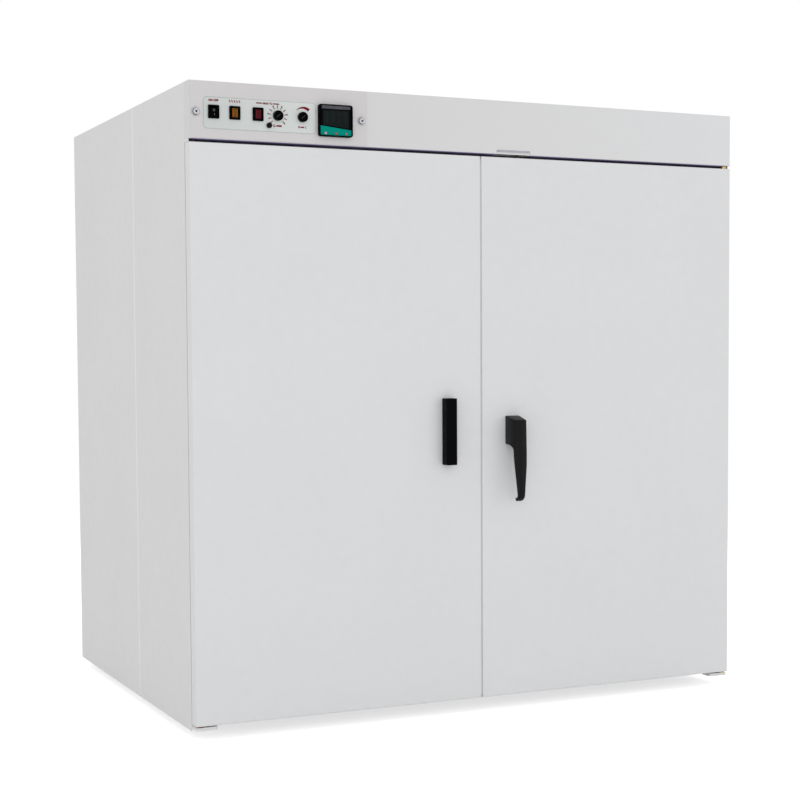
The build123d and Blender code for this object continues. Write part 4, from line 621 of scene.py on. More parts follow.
class Look(Enum):
    """Every finish of the oven."""

    FRONT = Sprayed("front_powder_coat", (0.80, 0.805, 0.815), (0.785, 0.79, 0.80), 0.42, dust=0.05)
    # The fascia's coat, with painted shade that darkens it towards its left end.
    FASCIA = ShadedTowardsEnd("fascia_powder_coat", (0.80, 0.805, 0.815), (0.785, 0.79, 0.80), 0.42, dust=0.05)
    SIDE = Sprayed("side_powder_coat", (0.79, 0.79, 0.79), (0.775, 0.775, 0.775), 0.48, dust=0.16)
    PLATE = Sprayed("plate_satin", (0.702, 0.684, 0.69), (0.688, 0.67, 0.676), 0.5, dust=0.03)
    # Sealant for the side seams; its white is partly a painted highlight for the light line along
    # them.
    SEALANT = Sprayed("white_sealant_painted_highlight", (0.92, 0.92, 0.92), (0.88, 0.88, 0.88), 0.45, patches=40.0)
    # The front frame's pale enamel, with painted shade in navy above the doors' top.
    FRAME = GapShaded("frame_with_painted_gap_shade", (0.79, 0.79, 0.79), (0.775, 0.775, 0.775), 0.5, dust=0.1)
    # Blue-black painted shade for the screws' recesses and sockets.
    RECESS = Sprayed(
        "painted_recess_shade",
        (0.010, 0.010, 0.035),
        (0.006, 0.006, 0.02),
        0.6,
        patches=200.0,
        specular=0.1,
    )
    ZINC = Brushed("zinc_plated_sheet", (0.60, 0.61, 0.63), (0.48, 0.49, 0.51), 0.38, 1.0, 25.0)
    STAINLESS = Brushed(
        "stainless_sheet",
        (0.68, 0.68, 0.68),
        (0.63, 0.625, 0.615),
        0.34,
        1.0,
        8.0,
        line_height=0.000008,
    )
    LINER = Brushed(
        "liner_sheet",
        (0.66, 0.655, 0.645),
        (0.55, 0.545, 0.53),
        0.34,
        1.0,
        4.0,
        dust=0.1,
        scuffs=0.15,
        stretch=(900.0, 40.0, 900.0),
    )
    ELEMENT = Sprayed("oxidised_tube", (0.20, 0.17, 0.15), (0.11, 0.10, 0.10), 0.55, 0.8, 45.0)
    SCREW = Brushed(
        "bright_plated_screw",
        (0.78, 0.79, 0.82),
        (0.66, 0.67, 0.70),
        0.22,
        1.0,
        300.0,
        stretch=(4000.0, 500.0, 4000.0),
    )
    WIRE = Brushed(
        "plated_wire", (0.80, 0.80, 0.81), (0.66, 0.66, 0.66), 0.18, 1.0, 60.0, scuffs=0.1
    )
    # The hinge washers' brass, with painted shade on the left-hand ones.
    BRASS = SideShaded("brass", (0.72, 0.50, 0.20), (0.55, 0.38, 0.15), 0.3, 1.0, 120.0)
    MOTOR = Sprayed("dark_enamel", (0.045, 0.048, 0.052), (0.03, 0.032, 0.035), 0.45, dust=0.3)
    MAGNET = Sprayed("ferrite", (0.035, 0.035, 0.037), (0.022, 0.022, 0.024), 0.65)
    WOOL = Felted("mineral_wool", (0.62, 0.54, 0.30), (0.46, 0.40, 0.22), 0.95, 0.0, 30.0)
    SILICONE = Moulded("grey_silicone", (0.105, 0.105, 0.11), (0.08, 0.08, 0.084), 0.6, sheen=0.15)
    # Pale silicone for the centre seal and the seam strip; partly painted light, so that the shaded
    # seam between the doors reads pale.
    PALE_SILICONE = Moulded(
        "pale_silicone_painted_light",
        (0.74, 0.73, 0.76),
        (0.70, 0.69, 0.72),
        0.6,
        sheen=0.1,
        patches=12.0,
    )
    FOOT = Moulded(
        "foot_rubber", (0.02, 0.02, 0.021), (0.013, 0.013, 0.014), 0.7, dust=0.2, sheen=0.1
    )
    # The label film, with painted shade that darkens it towards its left end beside the controller.
    LABEL = ShadedTowardsEnd(
        "label_film",
        (0.73, 0.77, 0.757),
        (0.71, 0.75, 0.737),
        0.36,
        patches=18.0,
        peel_scale=900.0,
        peel_height=0.00002,
        end_shade_colour=(0.645, 0.678, 0.662),
        end_shade_x=-0.475,
        unshaded_x=-0.30,
    )
    LABEL_BORDER = Sprayed(
        "label_border", (0.50, 0.52, 0.50), (0.44, 0.46, 0.44), 0.4, patches=25.0
    )
    INK = Sprayed(
        "dark_red_ink",
        (0.22, 0.006, 0.020),
        (0.18, 0.005, 0.016),
        0.45,
        patches=300.0,
        specular=0.1,
    )
    PALE_INK = Sprayed("pale_ink", (0.17, 0.17, 0.18), (0.13, 0.13, 0.14), 0.5, patches=300.0)
    BLACK = Moulded(
        "black_moulding",
        (0.005, 0.005, 0.006),
        (0.003, 0.003, 0.004),
        0.42,
        scuffs=0.02,
        specular=0.1,
    )
    LEVER = Moulded(
        "lever_moulding", (0.004, 0.004, 0.005), (0.002, 0.002, 0.003), 0.36, specular=0.17
    )
    PULL = Moulded(
        "pull_moulding", (0.0025, 0.0025, 0.004), (0.0015, 0.0015, 0.0025), 0.4, specular=0.035
    )
    GLOSS = Moulded(
        "black_gloss", (0.0015, 0.0015, 0.0015), (0.001, 0.001, 0.001), 0.25, specular=0.03
    )
    # Lighter grey in the knobs' slots: a painted highlight.
    SLOT = Moulded("slot_painted_highlight", (0.019, 0.019, 0.023), (0.012, 0.012, 0.015), 0.5, patches=300.0)
    CASE = Moulded(
        "controller_case", (0.0012, 0.001, 0.002), (0.0008, 0.0007, 0.0012), 0.4, specular=0.02
    )
    # Violet grey bar over the controller's window: a painted highlight along the case's top.
    BROW = Moulded(
        "violet_grey_painted_highlight",
        (0.105, 0.10, 0.12),
        (0.07, 0.065, 0.08),
        0.4,
        patches=60.0,
        specular=0.15,
    )
    # Foam under the fascia; its navy is painted shade for the gap over the doors.
    FOAM = Felted(
        "navy_foam_painted_shade",
        (0.34, 0.30, 0.50),
        (0.28, 0.25, 0.42),
        0.9,
        patches=60.0,
        specular=0.1,
        fibre_scale=900.0,
        fibre_height=0.0002,
    )
    # Trim on the notch's cut edge; its grey is painted shade along that edge.
    TRIM = Moulded("grey_edge_trim_painted_shade", (0.50, 0.485, 0.55), (0.45, 0.44, 0.49), 0.5, patches=60.0)
    # Black oxide for the latch rod, made this dark partly as painted shade in the gap under the
    # finger notch.
    OXIDE = Sprayed("black_oxide_steel_with_painted_shade", (0.020, 0.020, 0.026), (0.012, 0.012, 0.016), 0.45, 0.3)
    WINDOW = Glazed(
        "dark_window", (0.0015, 0.002, 0.002), (0.001, 0.0015, 0.0015), 0.15, specular=0.02
    )
    FIELD = Sprayed(
        "display_field", (0.0115, 0.0155, 0.0155), (0.009, 0.0125, 0.0125), 0.3, specular=0.03
    )
    SEGMENTS = Sprayed(
        "unlit_segments", (0.020, 0.026, 0.026), (0.015, 0.020, 0.020), 0.3, specular=0.05
    )
    TEAL = Sprayed(
        "teal_film", (0.0, 0.30, 0.235), (0.0, 0.265, 0.21), 0.38, patches=60.0, specular=0.04
    )
    AMBER = Lens(
        "amber_lens",
        (0.16, 0.090, 0.006),
        (0.12, 0.070, 0.005),
        0.3,
        patches=200.0,
        specular=0.05,
        edge=(0.50, 0.075, 0.006),
        centre_x=-0.42557,
    )
    RED = Lens(
        "red_lens",
        (0.085, 0.006, 0.010),
        (0.060, 0.005, 0.008),
        0.3,
        patches=200.0,
        specular=0.05,
        edge=(0.17, 0.006, 0.012),
        centre_x=-0.38792,
    )
    KEY = Moulded("key_rubber", (0.45, 0.05, 0.075), (0.38, 0.04, 0.06), 0.45, patches=200.0)
    DIM_KEY = Moulded(
        "dim_key_rubber", (0.42, 0.15, 0.18), (0.35, 0.12, 0.15), 0.45, patches=200.0
    )
    PALE_KEY = Moulded(
        "pale_key_rubber", (0.75, 0.38, 0.42), (0.66, 0.30, 0.34), 0.45, patches=200.0
    )


class Palette:
    """All the materials, made once and looked up by name."""

    def __init__(self) -> None:
        """Build the shared effects and every finish."""
        effects = Effects()
        self.materials = {look: look.value.build(effects) for look in Look}

    def paint(self, frame: dict, look: Look, *nodes: str) -> None:
        """Give CAD nodes a finish.

        Args:
            frame: What the frame was loaded as.
            look: The finish.
            nodes: The nodes' names.
        """
        for node in nodes:
            slots = frame["nodes"][node].data.materials
            slots.clear()
            slots.append(self.materials[look])


# Mesh helpers


def grid_faces(rows: int, columns: int, closed: bool = False) -> list[tuple[int, ...]]:
    """The quads of a grid of points whose columns close into rings.

    Args:
        rows: How many rings there are.
        columns: How many points each ring has.
        closed: Whether the last ring joins the first.

    Returns:
        The faces, ring after ring.
    """
    low = np.arange(rows * columns).reshape(rows, columns)
    high = np.roll(low, -1, axis=0)
    quads = np.stack([low, np.roll(low, -1, axis=1), np.roll(high, -1, axis=1), high], axis=-1)
    if not closed:
        quads = quads[:-1]
    return [tuple(quad) for quad in quads.reshape(-1, 4).tolist()]


def loft(rings: list[np.ndarray]) -> Mesh:
    """Join closed rings of points, one after another, and cap both ends.

    Args:
        rings: Arrays of points with the same count, running anticlockwise seen from the last ring.

    Returns:
        The points and the faces, which look outwards.
    """
    count = len(rings[0])
    faces = grid_faces(len(rings), count)
    faces.append(tuple(reversed(range(count))))
    last = (len(rings) - 1) * count
    faces.append(tuple(range(last, last + count)))
    return np.vstack(rings), faces


def make_piece(
    name: str, shape: Mesh, material: Material, body: str = "cabinet"
) -> bpy.types.Object:
    """Make a mesh piece that rides on a body.

    Args:
        name: The piece's name.
        shape: Its points in metres, in the shared frame, and its faces.
        material: Its material.
        body: The body that carries it.

    Returns:
        The object.
    """
    points, faces = shape
    mesh = bpy.data.meshes.new(name)
    mesh.from_pydata(points.tolist(), [], faces)
    mesh.polygons.foreach_set("use_smooth", [True] * len(mesh.polygons))
    mesh.set_sharp_from_angle(angle=SHARP_ANGLE)
    mesh.materials.append(material)
    mesh.update()
    piece = bpy.data.objects.new(name, mesh)
    bpy.context.scene.collection.objects.link(piece)
    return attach(piece, body)


def merged(parts: list[Mesh]) -> Mesh:
    """Put several sets of points and faces into one.

    Args:
        parts: The sets.

    Returns:
        All the points, and all the faces counted on from them.
    """
    points = []
    faces = []
    start = 0
    for part_points, part_faces in parts:
        points.append(part_points)
        faces += [tuple(index + start for index in face) for face in part_faces]
        start += len(part_points)
    return np.vstack(points), faces


def rounded_outline(half_x: float, half_z: float, radius: float, steps: int = 6) -> np.ndarray:
    """A rectangle with round corners.

    Args:
        half_x: Half its width.
        half_z: Half its height.
        radius: The corners' radius.
        steps: Points on each corner, less one.

    Returns:
        X and Z of its points, anticlockwise from the right: the corner's centre plus the radius
        times the cosine and sine of its angle, over a quarter circle at each corner.
    """
    turns = (np.arange(4)[:, None] + np.arange(steps + 1) / steps) * math.pi / 2
    centre_x = np.array((1, -1, -1, 1))[:, None] * (half_x - radius)
    centre_z = np.array((1, 1, -1, -1))[:, None] * (half_z - radius)
    x = centre_x + radius * np.cos(turns)
    z = centre_z + radius * np.sin(turns)
    return np.stack([x, z], axis=-1).reshape(-1, 2)


def on_front(outline: np.ndarray, centre: Pair, y: float) -> np.ndarray:
    """Stand an outline in X and Z upright at a place.

    Args:
        outline: X and Z of its points.
        centre: Where the outline's zero goes.
        y: Y of the ring.

    Returns:
        The ring's points, each the outline's plus the centre.
    """
    ring = np.empty((len(outline), 3))
    ring[:, 0] = outline[:, 0] + centre[0]
    ring[:, 1] = y
    ring[:, 2] = outline[:, 1] + centre[1]
    return ring


def front_slab(outline: np.ndarray, centre: Pair, back: float, front: float) -> Mesh:
    """A flat shape that stands on a plane facing the viewer.

    Args:
        outline: X and Z of its edge, anticlockwise.
        centre: Where the outline's zero goes.
        back: Y of the plane it stands on.
        front: Y of its face.

    Returns:
        Points and faces.
    """
    return loft([on_front(outline, centre, back), on_front(outline, centre, front)])


def ribbon(
    path: Points, width: float | np.ndarray, closed: bool
) -> tuple[np.ndarray, np.ndarray]:
    """The outline of a line drawn with a pen of some width.

    Each point moves half the width to either side, square to the way from the point before it
    to the point after it.

    Args:
        path: Points along the line.
        width: The pen's width, or one width for each point.
        closed: Whether the line is a loop.

    Returns:
        Left and right edge points, as two arrays.
    """
    line = np.array(path, float)
    widths = np.broadcast_to(np.asarray(width, float), (len(line),))
    if closed:
        ahead = np.roll(line, -1, axis=0) - np.roll(line, 1, axis=0)
    else:
        ahead = np.gradient(line, axis=0)
    ahead /= np.linalg.norm(ahead, axis=1, keepdims=True)
    side = np.stack([-ahead[:, 1], ahead[:, 0]], axis=1) * widths[:, None] / 2
    return line + side, line - side


def drawn(
    path: Points, width: float | np.ndarray, back: float, front: float, closed: bool = False
) -> Mesh:
    """A drawn line as a thin raised strip on a plane facing the viewer.

    Args:
        path: X and Z along the line, in metres.
        width: The line's width, or one width for each point.
        back: Y of the plane under it.
        front: Y of its face.
        closed: Whether the line is a loop.

    Returns:
        Points and faces: at each path point four corners, joined to the next four.
    """
    left, right = ribbon(path, width, closed)
    corners = ((left, front), (left, back), (right, back), (right, front))
    points = np.empty((len(left), len(corners), 3))
    for corner, (edge, y) in enumerate(corners):
        points[:, corner, 0] = edge[:, 0]
        points[:, corner, 1] = y
        points[:, corner, 2] = edge[:, 1]
    faces = grid_faces(len(left), len(corners), closed)
    if not closed:
        last = (len(left) - 1) * len(corners)
        faces += [(3, 2, 1, 0), (last, last + 1, last + 2, last + 3)]
    return points.reshape(-1, 3), faces


def lip_frame(centre: Pair, half: Pair, corner: float, profile: Points) -> Mesh:
    """A closed moulded lip that runs round a rectangle facing the viewer.

    Args:
        centre: X and Z of the rectangle's middle.
        half: Half its width and half its height.
        corner: The radius of its corners.
        profile: The lip's closed section, as distances inwards from the rectangle and Y values,
            anticlockwise with the distance to the right and Y upwards.

    Returns:
        Points and faces: one ring for each point of the section, the last joined to the first.
    """
    rings = []
    for inset, y in profile:
        radius = max(corner - inset, SMALLEST_CORNER)
        outline = rounded_outline(half[0] - inset, half[1] - inset, radius)
        rings.append(on_front(outline, centre, y))
    return np.vstack(rings), grid_faces(len(rings), len(rings[0]), closed=True)


def half_round(width: float, back: float, rise: float, steps: int = 8) -> np.ndarray:
    """The section of a rounded lip, half an ellipse over a flat foot.

    Args:
        width: How wide its foot is, measured inwards.
        back: Y of the foot.
        rise: How far it stands out towards the viewer.
        steps: How many facets the round has.

    Returns:
        Distances inwards, half the width times one less the cosine of an angle, and Y values, the
        rise times its sine in front of the foot, for angles from 0 to 180 degrees.
    """
    angles = np.linspace(0.0, math.pi, steps + 1)
    return np.column_stack((width / 2 * (1 - np.cos(angles)), back - rise * np.sin(angles)))


def arc(centre: Pair, radius: float, start: float, end: float, steps: int) -> np.ndarray:
    """Points on an arc, with angles in degrees anticlockwise from the right."""
    angles = np.radians(np.linspace(start, end, steps + 1))
    return np.column_stack((np.cos(angles), np.sin(angles))) * radius + centre


def upright(section: np.ndarray, levels: np.ndarray) -> Mesh:
    """A closed section in X and Y carried straight up: its points once at each level."""
    return loft([np.column_stack((section, np.full(len(section), z))) for z in levels])


def letters(text: str, height: float, centre: Pair, back: float, front: float) -> Mesh:
    """Plain letters as thin raised shapes on a plane facing the viewer.

    Args:
        text: What it says.
        height: The height of a capital.
        centre: X and Z of its middle.
        back: Y of the plane under it.
        front: Y of its face.

    Returns:
        Points and faces.
    """
    curve = bpy.data.curves.new("letters", "FONT")
    curve.body = text
    curve.align_x = "CENTER"
    curve.extrude = LETTER_THICKNESS
    curve.offset = LETTER_BOLDNESS
    curve.resolution_u = LETTER_CURVE_STEPS
    holder = bpy.data.objects.new("letters", curve)
    bpy.context.scene.collection.objects.link(holder)
    mesh = bpy.data.meshes.new_from_object(holder)
    flat = np.empty(3 * len(mesh.vertices), np.float32)
    mesh.vertices.foreach_get("co", flat)
    flat = flat.reshape(-1, 3).astype(float)
    faces = [tuple(polygon.vertices) for polygon in mesh.polygons]
    bpy.data.objects.remove(holder)
    bpy.data.curves.remove(curve)
    bpy.data.meshes.remove(mesh)
    low = flat.min(0)
    high = flat.max(0)
    scale = height / (high[1] - low[1])
    middle = (low + high) / 2
    points = np.empty_like(flat)
    points[:, 0] = (flat[:, 0] - middle[0]) * scale + centre[0]
    points[:, 1] = np.where(flat[:, 2] > middle[2], front, back)
    points[:, 2] = (flat[:, 1] - middle[1]) * scale + centre[1]
    return points, faces


def middle_of(node: str) -> tuple[Vector, Vector]:
    """The middle of a CAD node's box and half its size."""
    low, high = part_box(node)
    return (low + high) / 2, (high - low) / 2


# Sub-assemblies


@dataclass(frozen=True)
class CabinetShell:
    """The cabinet's sheets, feet, screws and the cable gland.

    Args:
        seam_depth: How deep the groove between the side panels is.
        seam_width: How wide the groove is.
        seam_sag: How far the bead's face hangs in from the panels' faces.
        seam_end: How far the bead ends from the panels' tops and bottoms.
        seam_facets: How many facets its face has.
        seam_rings: How many rings it is built from.
        strip_thickness: The thickness of the foam strips under the fascia.
        strip_inset: How far the strips stay inside the fascia's edges.
        strip_corner: The radius of their corners.
        strip_profile: Insets and drops of their rings, as shares of the thickness.
        notch_start: X of the finger notch's left end.
        notch_end: X of its right end.
        notch_rise: How high the notch reaches into the fascia.
        notch_corner: The radius of its upper corners.
        sheet: How far the keeper's face lies behind the fascia's.
        trim_width: The width of the trim on the notch's cut edge.
        trim_inset: How far the trim stays inside that edge.
        trim_corner: The smallest radius that it bends to.
        trim_setback: How far its face lies behind the fascia's.
        tab_setback: How far the tabs at the gap's ends stay behind the fascia's face.
        tab_clearance: How far they end above the doors.
        tab_thickness: Their thickness.
        tab_corner: The radius of their corners.
        recess_reach: The length of the arms of the screws' cross recess.
        recess_width: The width of those arms.
        recess_depth: How deep the dark shape of the recess goes.
        recess_rise: How far that shape stands out of the head.
        screw_head: The radius of the rear screws' heads.
        screw_rows: How many rear screws there are on each side.
    """

    seam_depth: float = 2.2 * MM
    seam_width: float = 5.0 * MM
    seam_sag: float = 0.25 * MM
    seam_end: float = 2.0 * MM
    seam_facets: int = 6
    seam_rings: int = 40
    strip_thickness: float = 0.5 * MM
    strip_inset: float = 1.6 * MM
    strip_corner: float = 1.0 * MM
    strip_profile: tuple[Pair, ...] = ((0.0, 0.0), (0.0, 0.7), (0.1, 1.0))
    notch_start: float = 29.1 * MM
    notch_end: float = 93.0 * MM
    notch_rise: float = 7.0 * MM
    notch_corner: float = 3.0 * MM
    sheet: float = 1.5 * MM
    trim_width: float = 3.4 * MM
    trim_inset: float = 0.1 * MM
    trim_corner: float = 0.8 * MM
    trim_setback: float = 0.3 * MM
    tab_setback: float = 7.0 * MM
    tab_clearance: float = 0.5 * MM
    tab_thickness: float = 1.2 * MM
    tab_corner: float = 0.9 * MM
    recess_reach: float = 2.1 * MM
    recess_width: float = 0.8 * MM
    recess_depth: float = 0.3 * MM
    recess_rise: float = 0.02 * MM
    screw_head: float = 4.0 * MM
    screw_rows: int = 5

    def build(self, frame: dict, palette: Palette) -> None:
        """Finish the shell's nodes and add the seams' beads, the foam strips and the recesses.

        Args:
            frame: What the frame was loaded as.
            palette: The materials.
        """
        palette.paint(
            frame,
            Look.SIDE,
            "left_front_panel",
            "right_front_panel",
            "left_rear_panel",
            "right_rear_panel",
            "top_cover",
            "rear_cover",
            "hinge_plates",
        )
        palette.paint(frame, Look.FASCIA, "fascia")
        palette.paint(frame, Look.ZINC, "base_pan")
        palette.paint(frame, Look.FRAME, "front_frame")
        palette.paint(frame, Look.SCREW, "rear_cover_screws", "hinge_pins")
        palette.paint(frame, Look.BRASS, "hinge_washers")
        palette.paint(frame, Look.FOOT, "feet")
        palette.paint(frame, Look.BLACK, "cable_gland")
        palette.paint(frame, Look.MAGNET, "catch_magnets")
        self.add_seam_beads(palette.materials[Look.SEALANT])
        self.add_foam_strips(palette.materials[Look.FOAM])
        self.add_notch_trim(palette.materials[Look.TRIM])
        self.add_gap_tabs(palette.materials[Look.SIDE])
        self.add_recesses(palette.materials[Look.RECESS])

    def add_seam_beads(self, material: Material) -> None:
        """Fill the groove between the side panels with a slightly hollow bead of sealant, whose
        white is partly a painted highlight along the seam.

        Args:
            material: The sealant, whiter than the panels as a painted highlight.
        """
        low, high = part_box("left_front_panel")
        levels = np.linspace(low.z + self.seam_end, high.z - self.seam_end, self.seam_rings)
        shares = np.arange(self.seam_facets + 1) / self.seam_facets
        sag = self.seam_sag * np.sin(math.pi * shares)
        depth = np.append(self.seam_depth, sag)
        along = np.append(0.0, self.seam_width * shares)
        left = np.column_stack((low.x + depth, high.y + along))
        make_piece("left_seam_bead", upright(left, levels), material)
        make_piece("right_seam_bead", upright(left[::-1] * (-1, 1), levels), material)

    def add_foam_strips(self, material: Material) -> None:
        """Stick a foam strip under the fascia on each side of its finger notch, its dark navy a
        painted shade for the gap over the doors.

        Args:
            material: The foam, navy as painted shade.
        """
        low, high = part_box("fascia")
        half_depth = (high.y - low.y) / 2 - self.strip_inset
        middle_y = (low.y + high.y) / 2
        for name, start, end in (
            ("left_foam_strip", low.x + self.strip_inset, self.notch_start),
            ("right_foam_strip", self.notch_end, high.x - self.strip_inset),
        ):
            outline = rounded_outline((end - start) / 2, half_depth, self.strip_corner)
            rings = []
            for inset, drop in self.strip_profile:
                shrink = 1 - inset * self.strip_thickness / half_depth
                ring = np.empty((len(outline), 3))
                ring[:, 0] = outline[:, 0] + (start + end) / 2
                ring[:, 1] = middle_y - outline[:, 1] * shrink
                ring[:, 2] = low.z - drop * self.strip_thickness
                rings.append(ring)
            make_piece(name, loft(rings), material)

    def add_notch_trim(self, material: Material) -> None:
        """Run a grey edge trim over the finger notch's top and down its left side, darker than the
        fascia as a painted shade line along the cut edge.

        Args:
            material: The trim's plastic, its grey a painted shade.
        """
        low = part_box("fascia")[0]
        inset = self.trim_width / 2 + self.trim_inset
        radius = max(self.notch_corner - inset, self.trim_corner)
        left = self.notch_start + inset + radius
        right = self.notch_end - inset - radius
        corner_z = low.z + self.notch_rise - inset - radius
        end = arc((right, corner_z), radius, 45, 90, steps=4)
        start = arc((left, corner_z), radius, 90, 180, steps=6)
        path = np.vstack((end, start))
        trim = drawn(path, self.trim_width, low.y + self.sheet, low.y + self.trim_setback)
        make_piece("notch_trim", trim, material)

    def add_gap_tabs(self, material: Material) -> None:
        """Close each end of the gap over the doors with a tab bent down from the fascia.

        Args:
            material: The side sheets' coat.
        """
        low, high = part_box("fascia")
        door_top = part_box("left_door_skin")[1].z
        start = low.y + self.tab_setback
        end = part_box("left_front_panel")[0].y
        middle = (start + end) / 2
        half_height = (low.z - door_top - self.tab_clearance) / 2
        outline = rounded_outline((end - start) / 2, half_height, self.tab_corner)
        for name, faces_x in (
            ("left_gap_tab", (low.x + self.tab_thickness, low.x)),
            ("right_gap_tab", (high.x, high.x - self.tab_thickness)),
        ):
            rings = []
            for x in faces_x:
                ring = np.empty((len(outline), 3))
                ring[:, 0] = x
                ring[:, 1] = middle - outline[:, 0]
                ring[:, 2] = low.z - half_height + outline[:, 1]
                rings.append(ring)
            make_piece(name, loft(rings), material)

    def add_recesses(self, material: Material) -> None:
        """Paint shade into the cross recess in the head of each rear screw, as a thin blue-black
        cross.

        Args:
            material: The painted shade of the recesses.
        """
        low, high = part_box("rear_cover_screws")
        head = self.screw_head
        face = high.y + self.recess_rise
        parts = []
        for x in (low.x + head, high.x - head):
            for z in np.linspace(low.z + head, high.z - head, self.screw_rows):
                for ray in ((self.recess_reach, 0.0), (0.0, self.recess_reach)):
                    path = [(x - ray[0], z - ray[1]), (x + ray[0], z + ray[1])]
                    parts.append(drawn(path, self.recess_width, face, face - self.recess_depth))
        make_piece("screw_recesses", merged(parts), material)


@dataclass(frozen=True)
class Chamber:
    """The heated space: liner, baffle, fan, element, runners and shelves."""

    def build(self, frame: dict, palette: Palette) -> None:
        """Finish the chamber's nodes.

        Args:
            frame: What the frame was loaded as.
            palette: The materials.
        """
        palette.paint(frame, Look.LINER, "chamber_liner", "rear_baffle")
        palette.paint(frame, Look.STAINLESS, "shelf_runners", "temperature_probe", "fan_impeller")
        palette.paint(frame, Look.STAINLESS, "vent_duct", "vent_damper", "fan_shaft")
        palette.paint(frame, Look.WIRE, "shelf_lower", "shelf_middle", "shelf_upper")
        palette.paint(frame, Look.ELEMENT, "heating_element")
        palette.paint(frame, Look.MOTOR, "fan_motor", "heater_relay")
        palette.paint(frame, Look.WOOL, "insulation")
        palette.paint(frame, Look.SILICONE, "door_seal")


@dataclass(frozen=True)
class Doors:
    """Both doors, the left pull, the seal between the plugs and the strip in the seam.

    Args:
        strip_width: How far the strip reaches from the right door towards the left one.
        strip_setback: How far it lies behind the doors' faces.
        strip_depth: How deep it is.
        strip_end: How far it ends from the door's top and bottom.
        strip_facets: How many facets its round nose has.
        strip_rings: How many rings it is built from.
    """

    strip_width: float = 1.9 * MM
    strip_setback: float = 2.6 * MM
    strip_depth: float = 5.0 * MM
    strip_end: float = 4.0 * MM
    strip_facets: int = 5
    strip_rings: int = 30

    def build(self, frame: dict, palette: Palette) -> None:
        """Finish the doors' nodes.

        Args:
            frame: What the frame was loaded as.
            palette: The materials.
        """
        palette.paint(frame, Look.FRONT, "left_door_skin", "right_door_skin")
        palette.paint(frame, Look.STAINLESS, "left_door_liner", "right_door_liner")
        palette.paint(frame, Look.WOOL, "left_door_insulation", "right_door_insulation")
        palette.paint(frame, Look.PALE_SILICONE, "centre_seal")
        palette.paint(frame, Look.PULL, "left_pull")
        self.add_seam_strip(palette.materials[Look.PALE_SILICONE])

    def add_seam_strip(self, material: Material) -> None:
        """Run a pale strip with a round nose up the right door's free edge, its pale grey painted
        light in the shaded seam between the doors.

        Args:
            material: The pale silicone, pale as painted light.
        """
        low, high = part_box("right_door_skin")
        nose = self.strip_width / 2
        turns = np.linspace(math.pi / 2, 0, self.strip_facets + 1)
        round_nose = np.column_stack((-np.sin(turns) - 1, 1 - np.cos(turns))) * nose
        section = np.vstack(
            (
                (-self.strip_width, self.strip_depth),
                round_nose,
                (0.0, 0.0),
                (0.0, self.strip_depth),
            )
        )
        section += (low.x, low.y + self.strip_setback)
        levels = np.linspace(low.z + self.strip_end, high.z - self.strip_end, self.strip_rings)
        make_piece("seam_strip", upright(section, levels), material, "right_door")


# A section of the lever: its end at the face, its end at the back, how much narrower it is
Span = tuple[Pair, Pair, float]

# How far in the middle of a rounded edge lies, as a share of its radius
ROUND_MIDDLE = 0.3


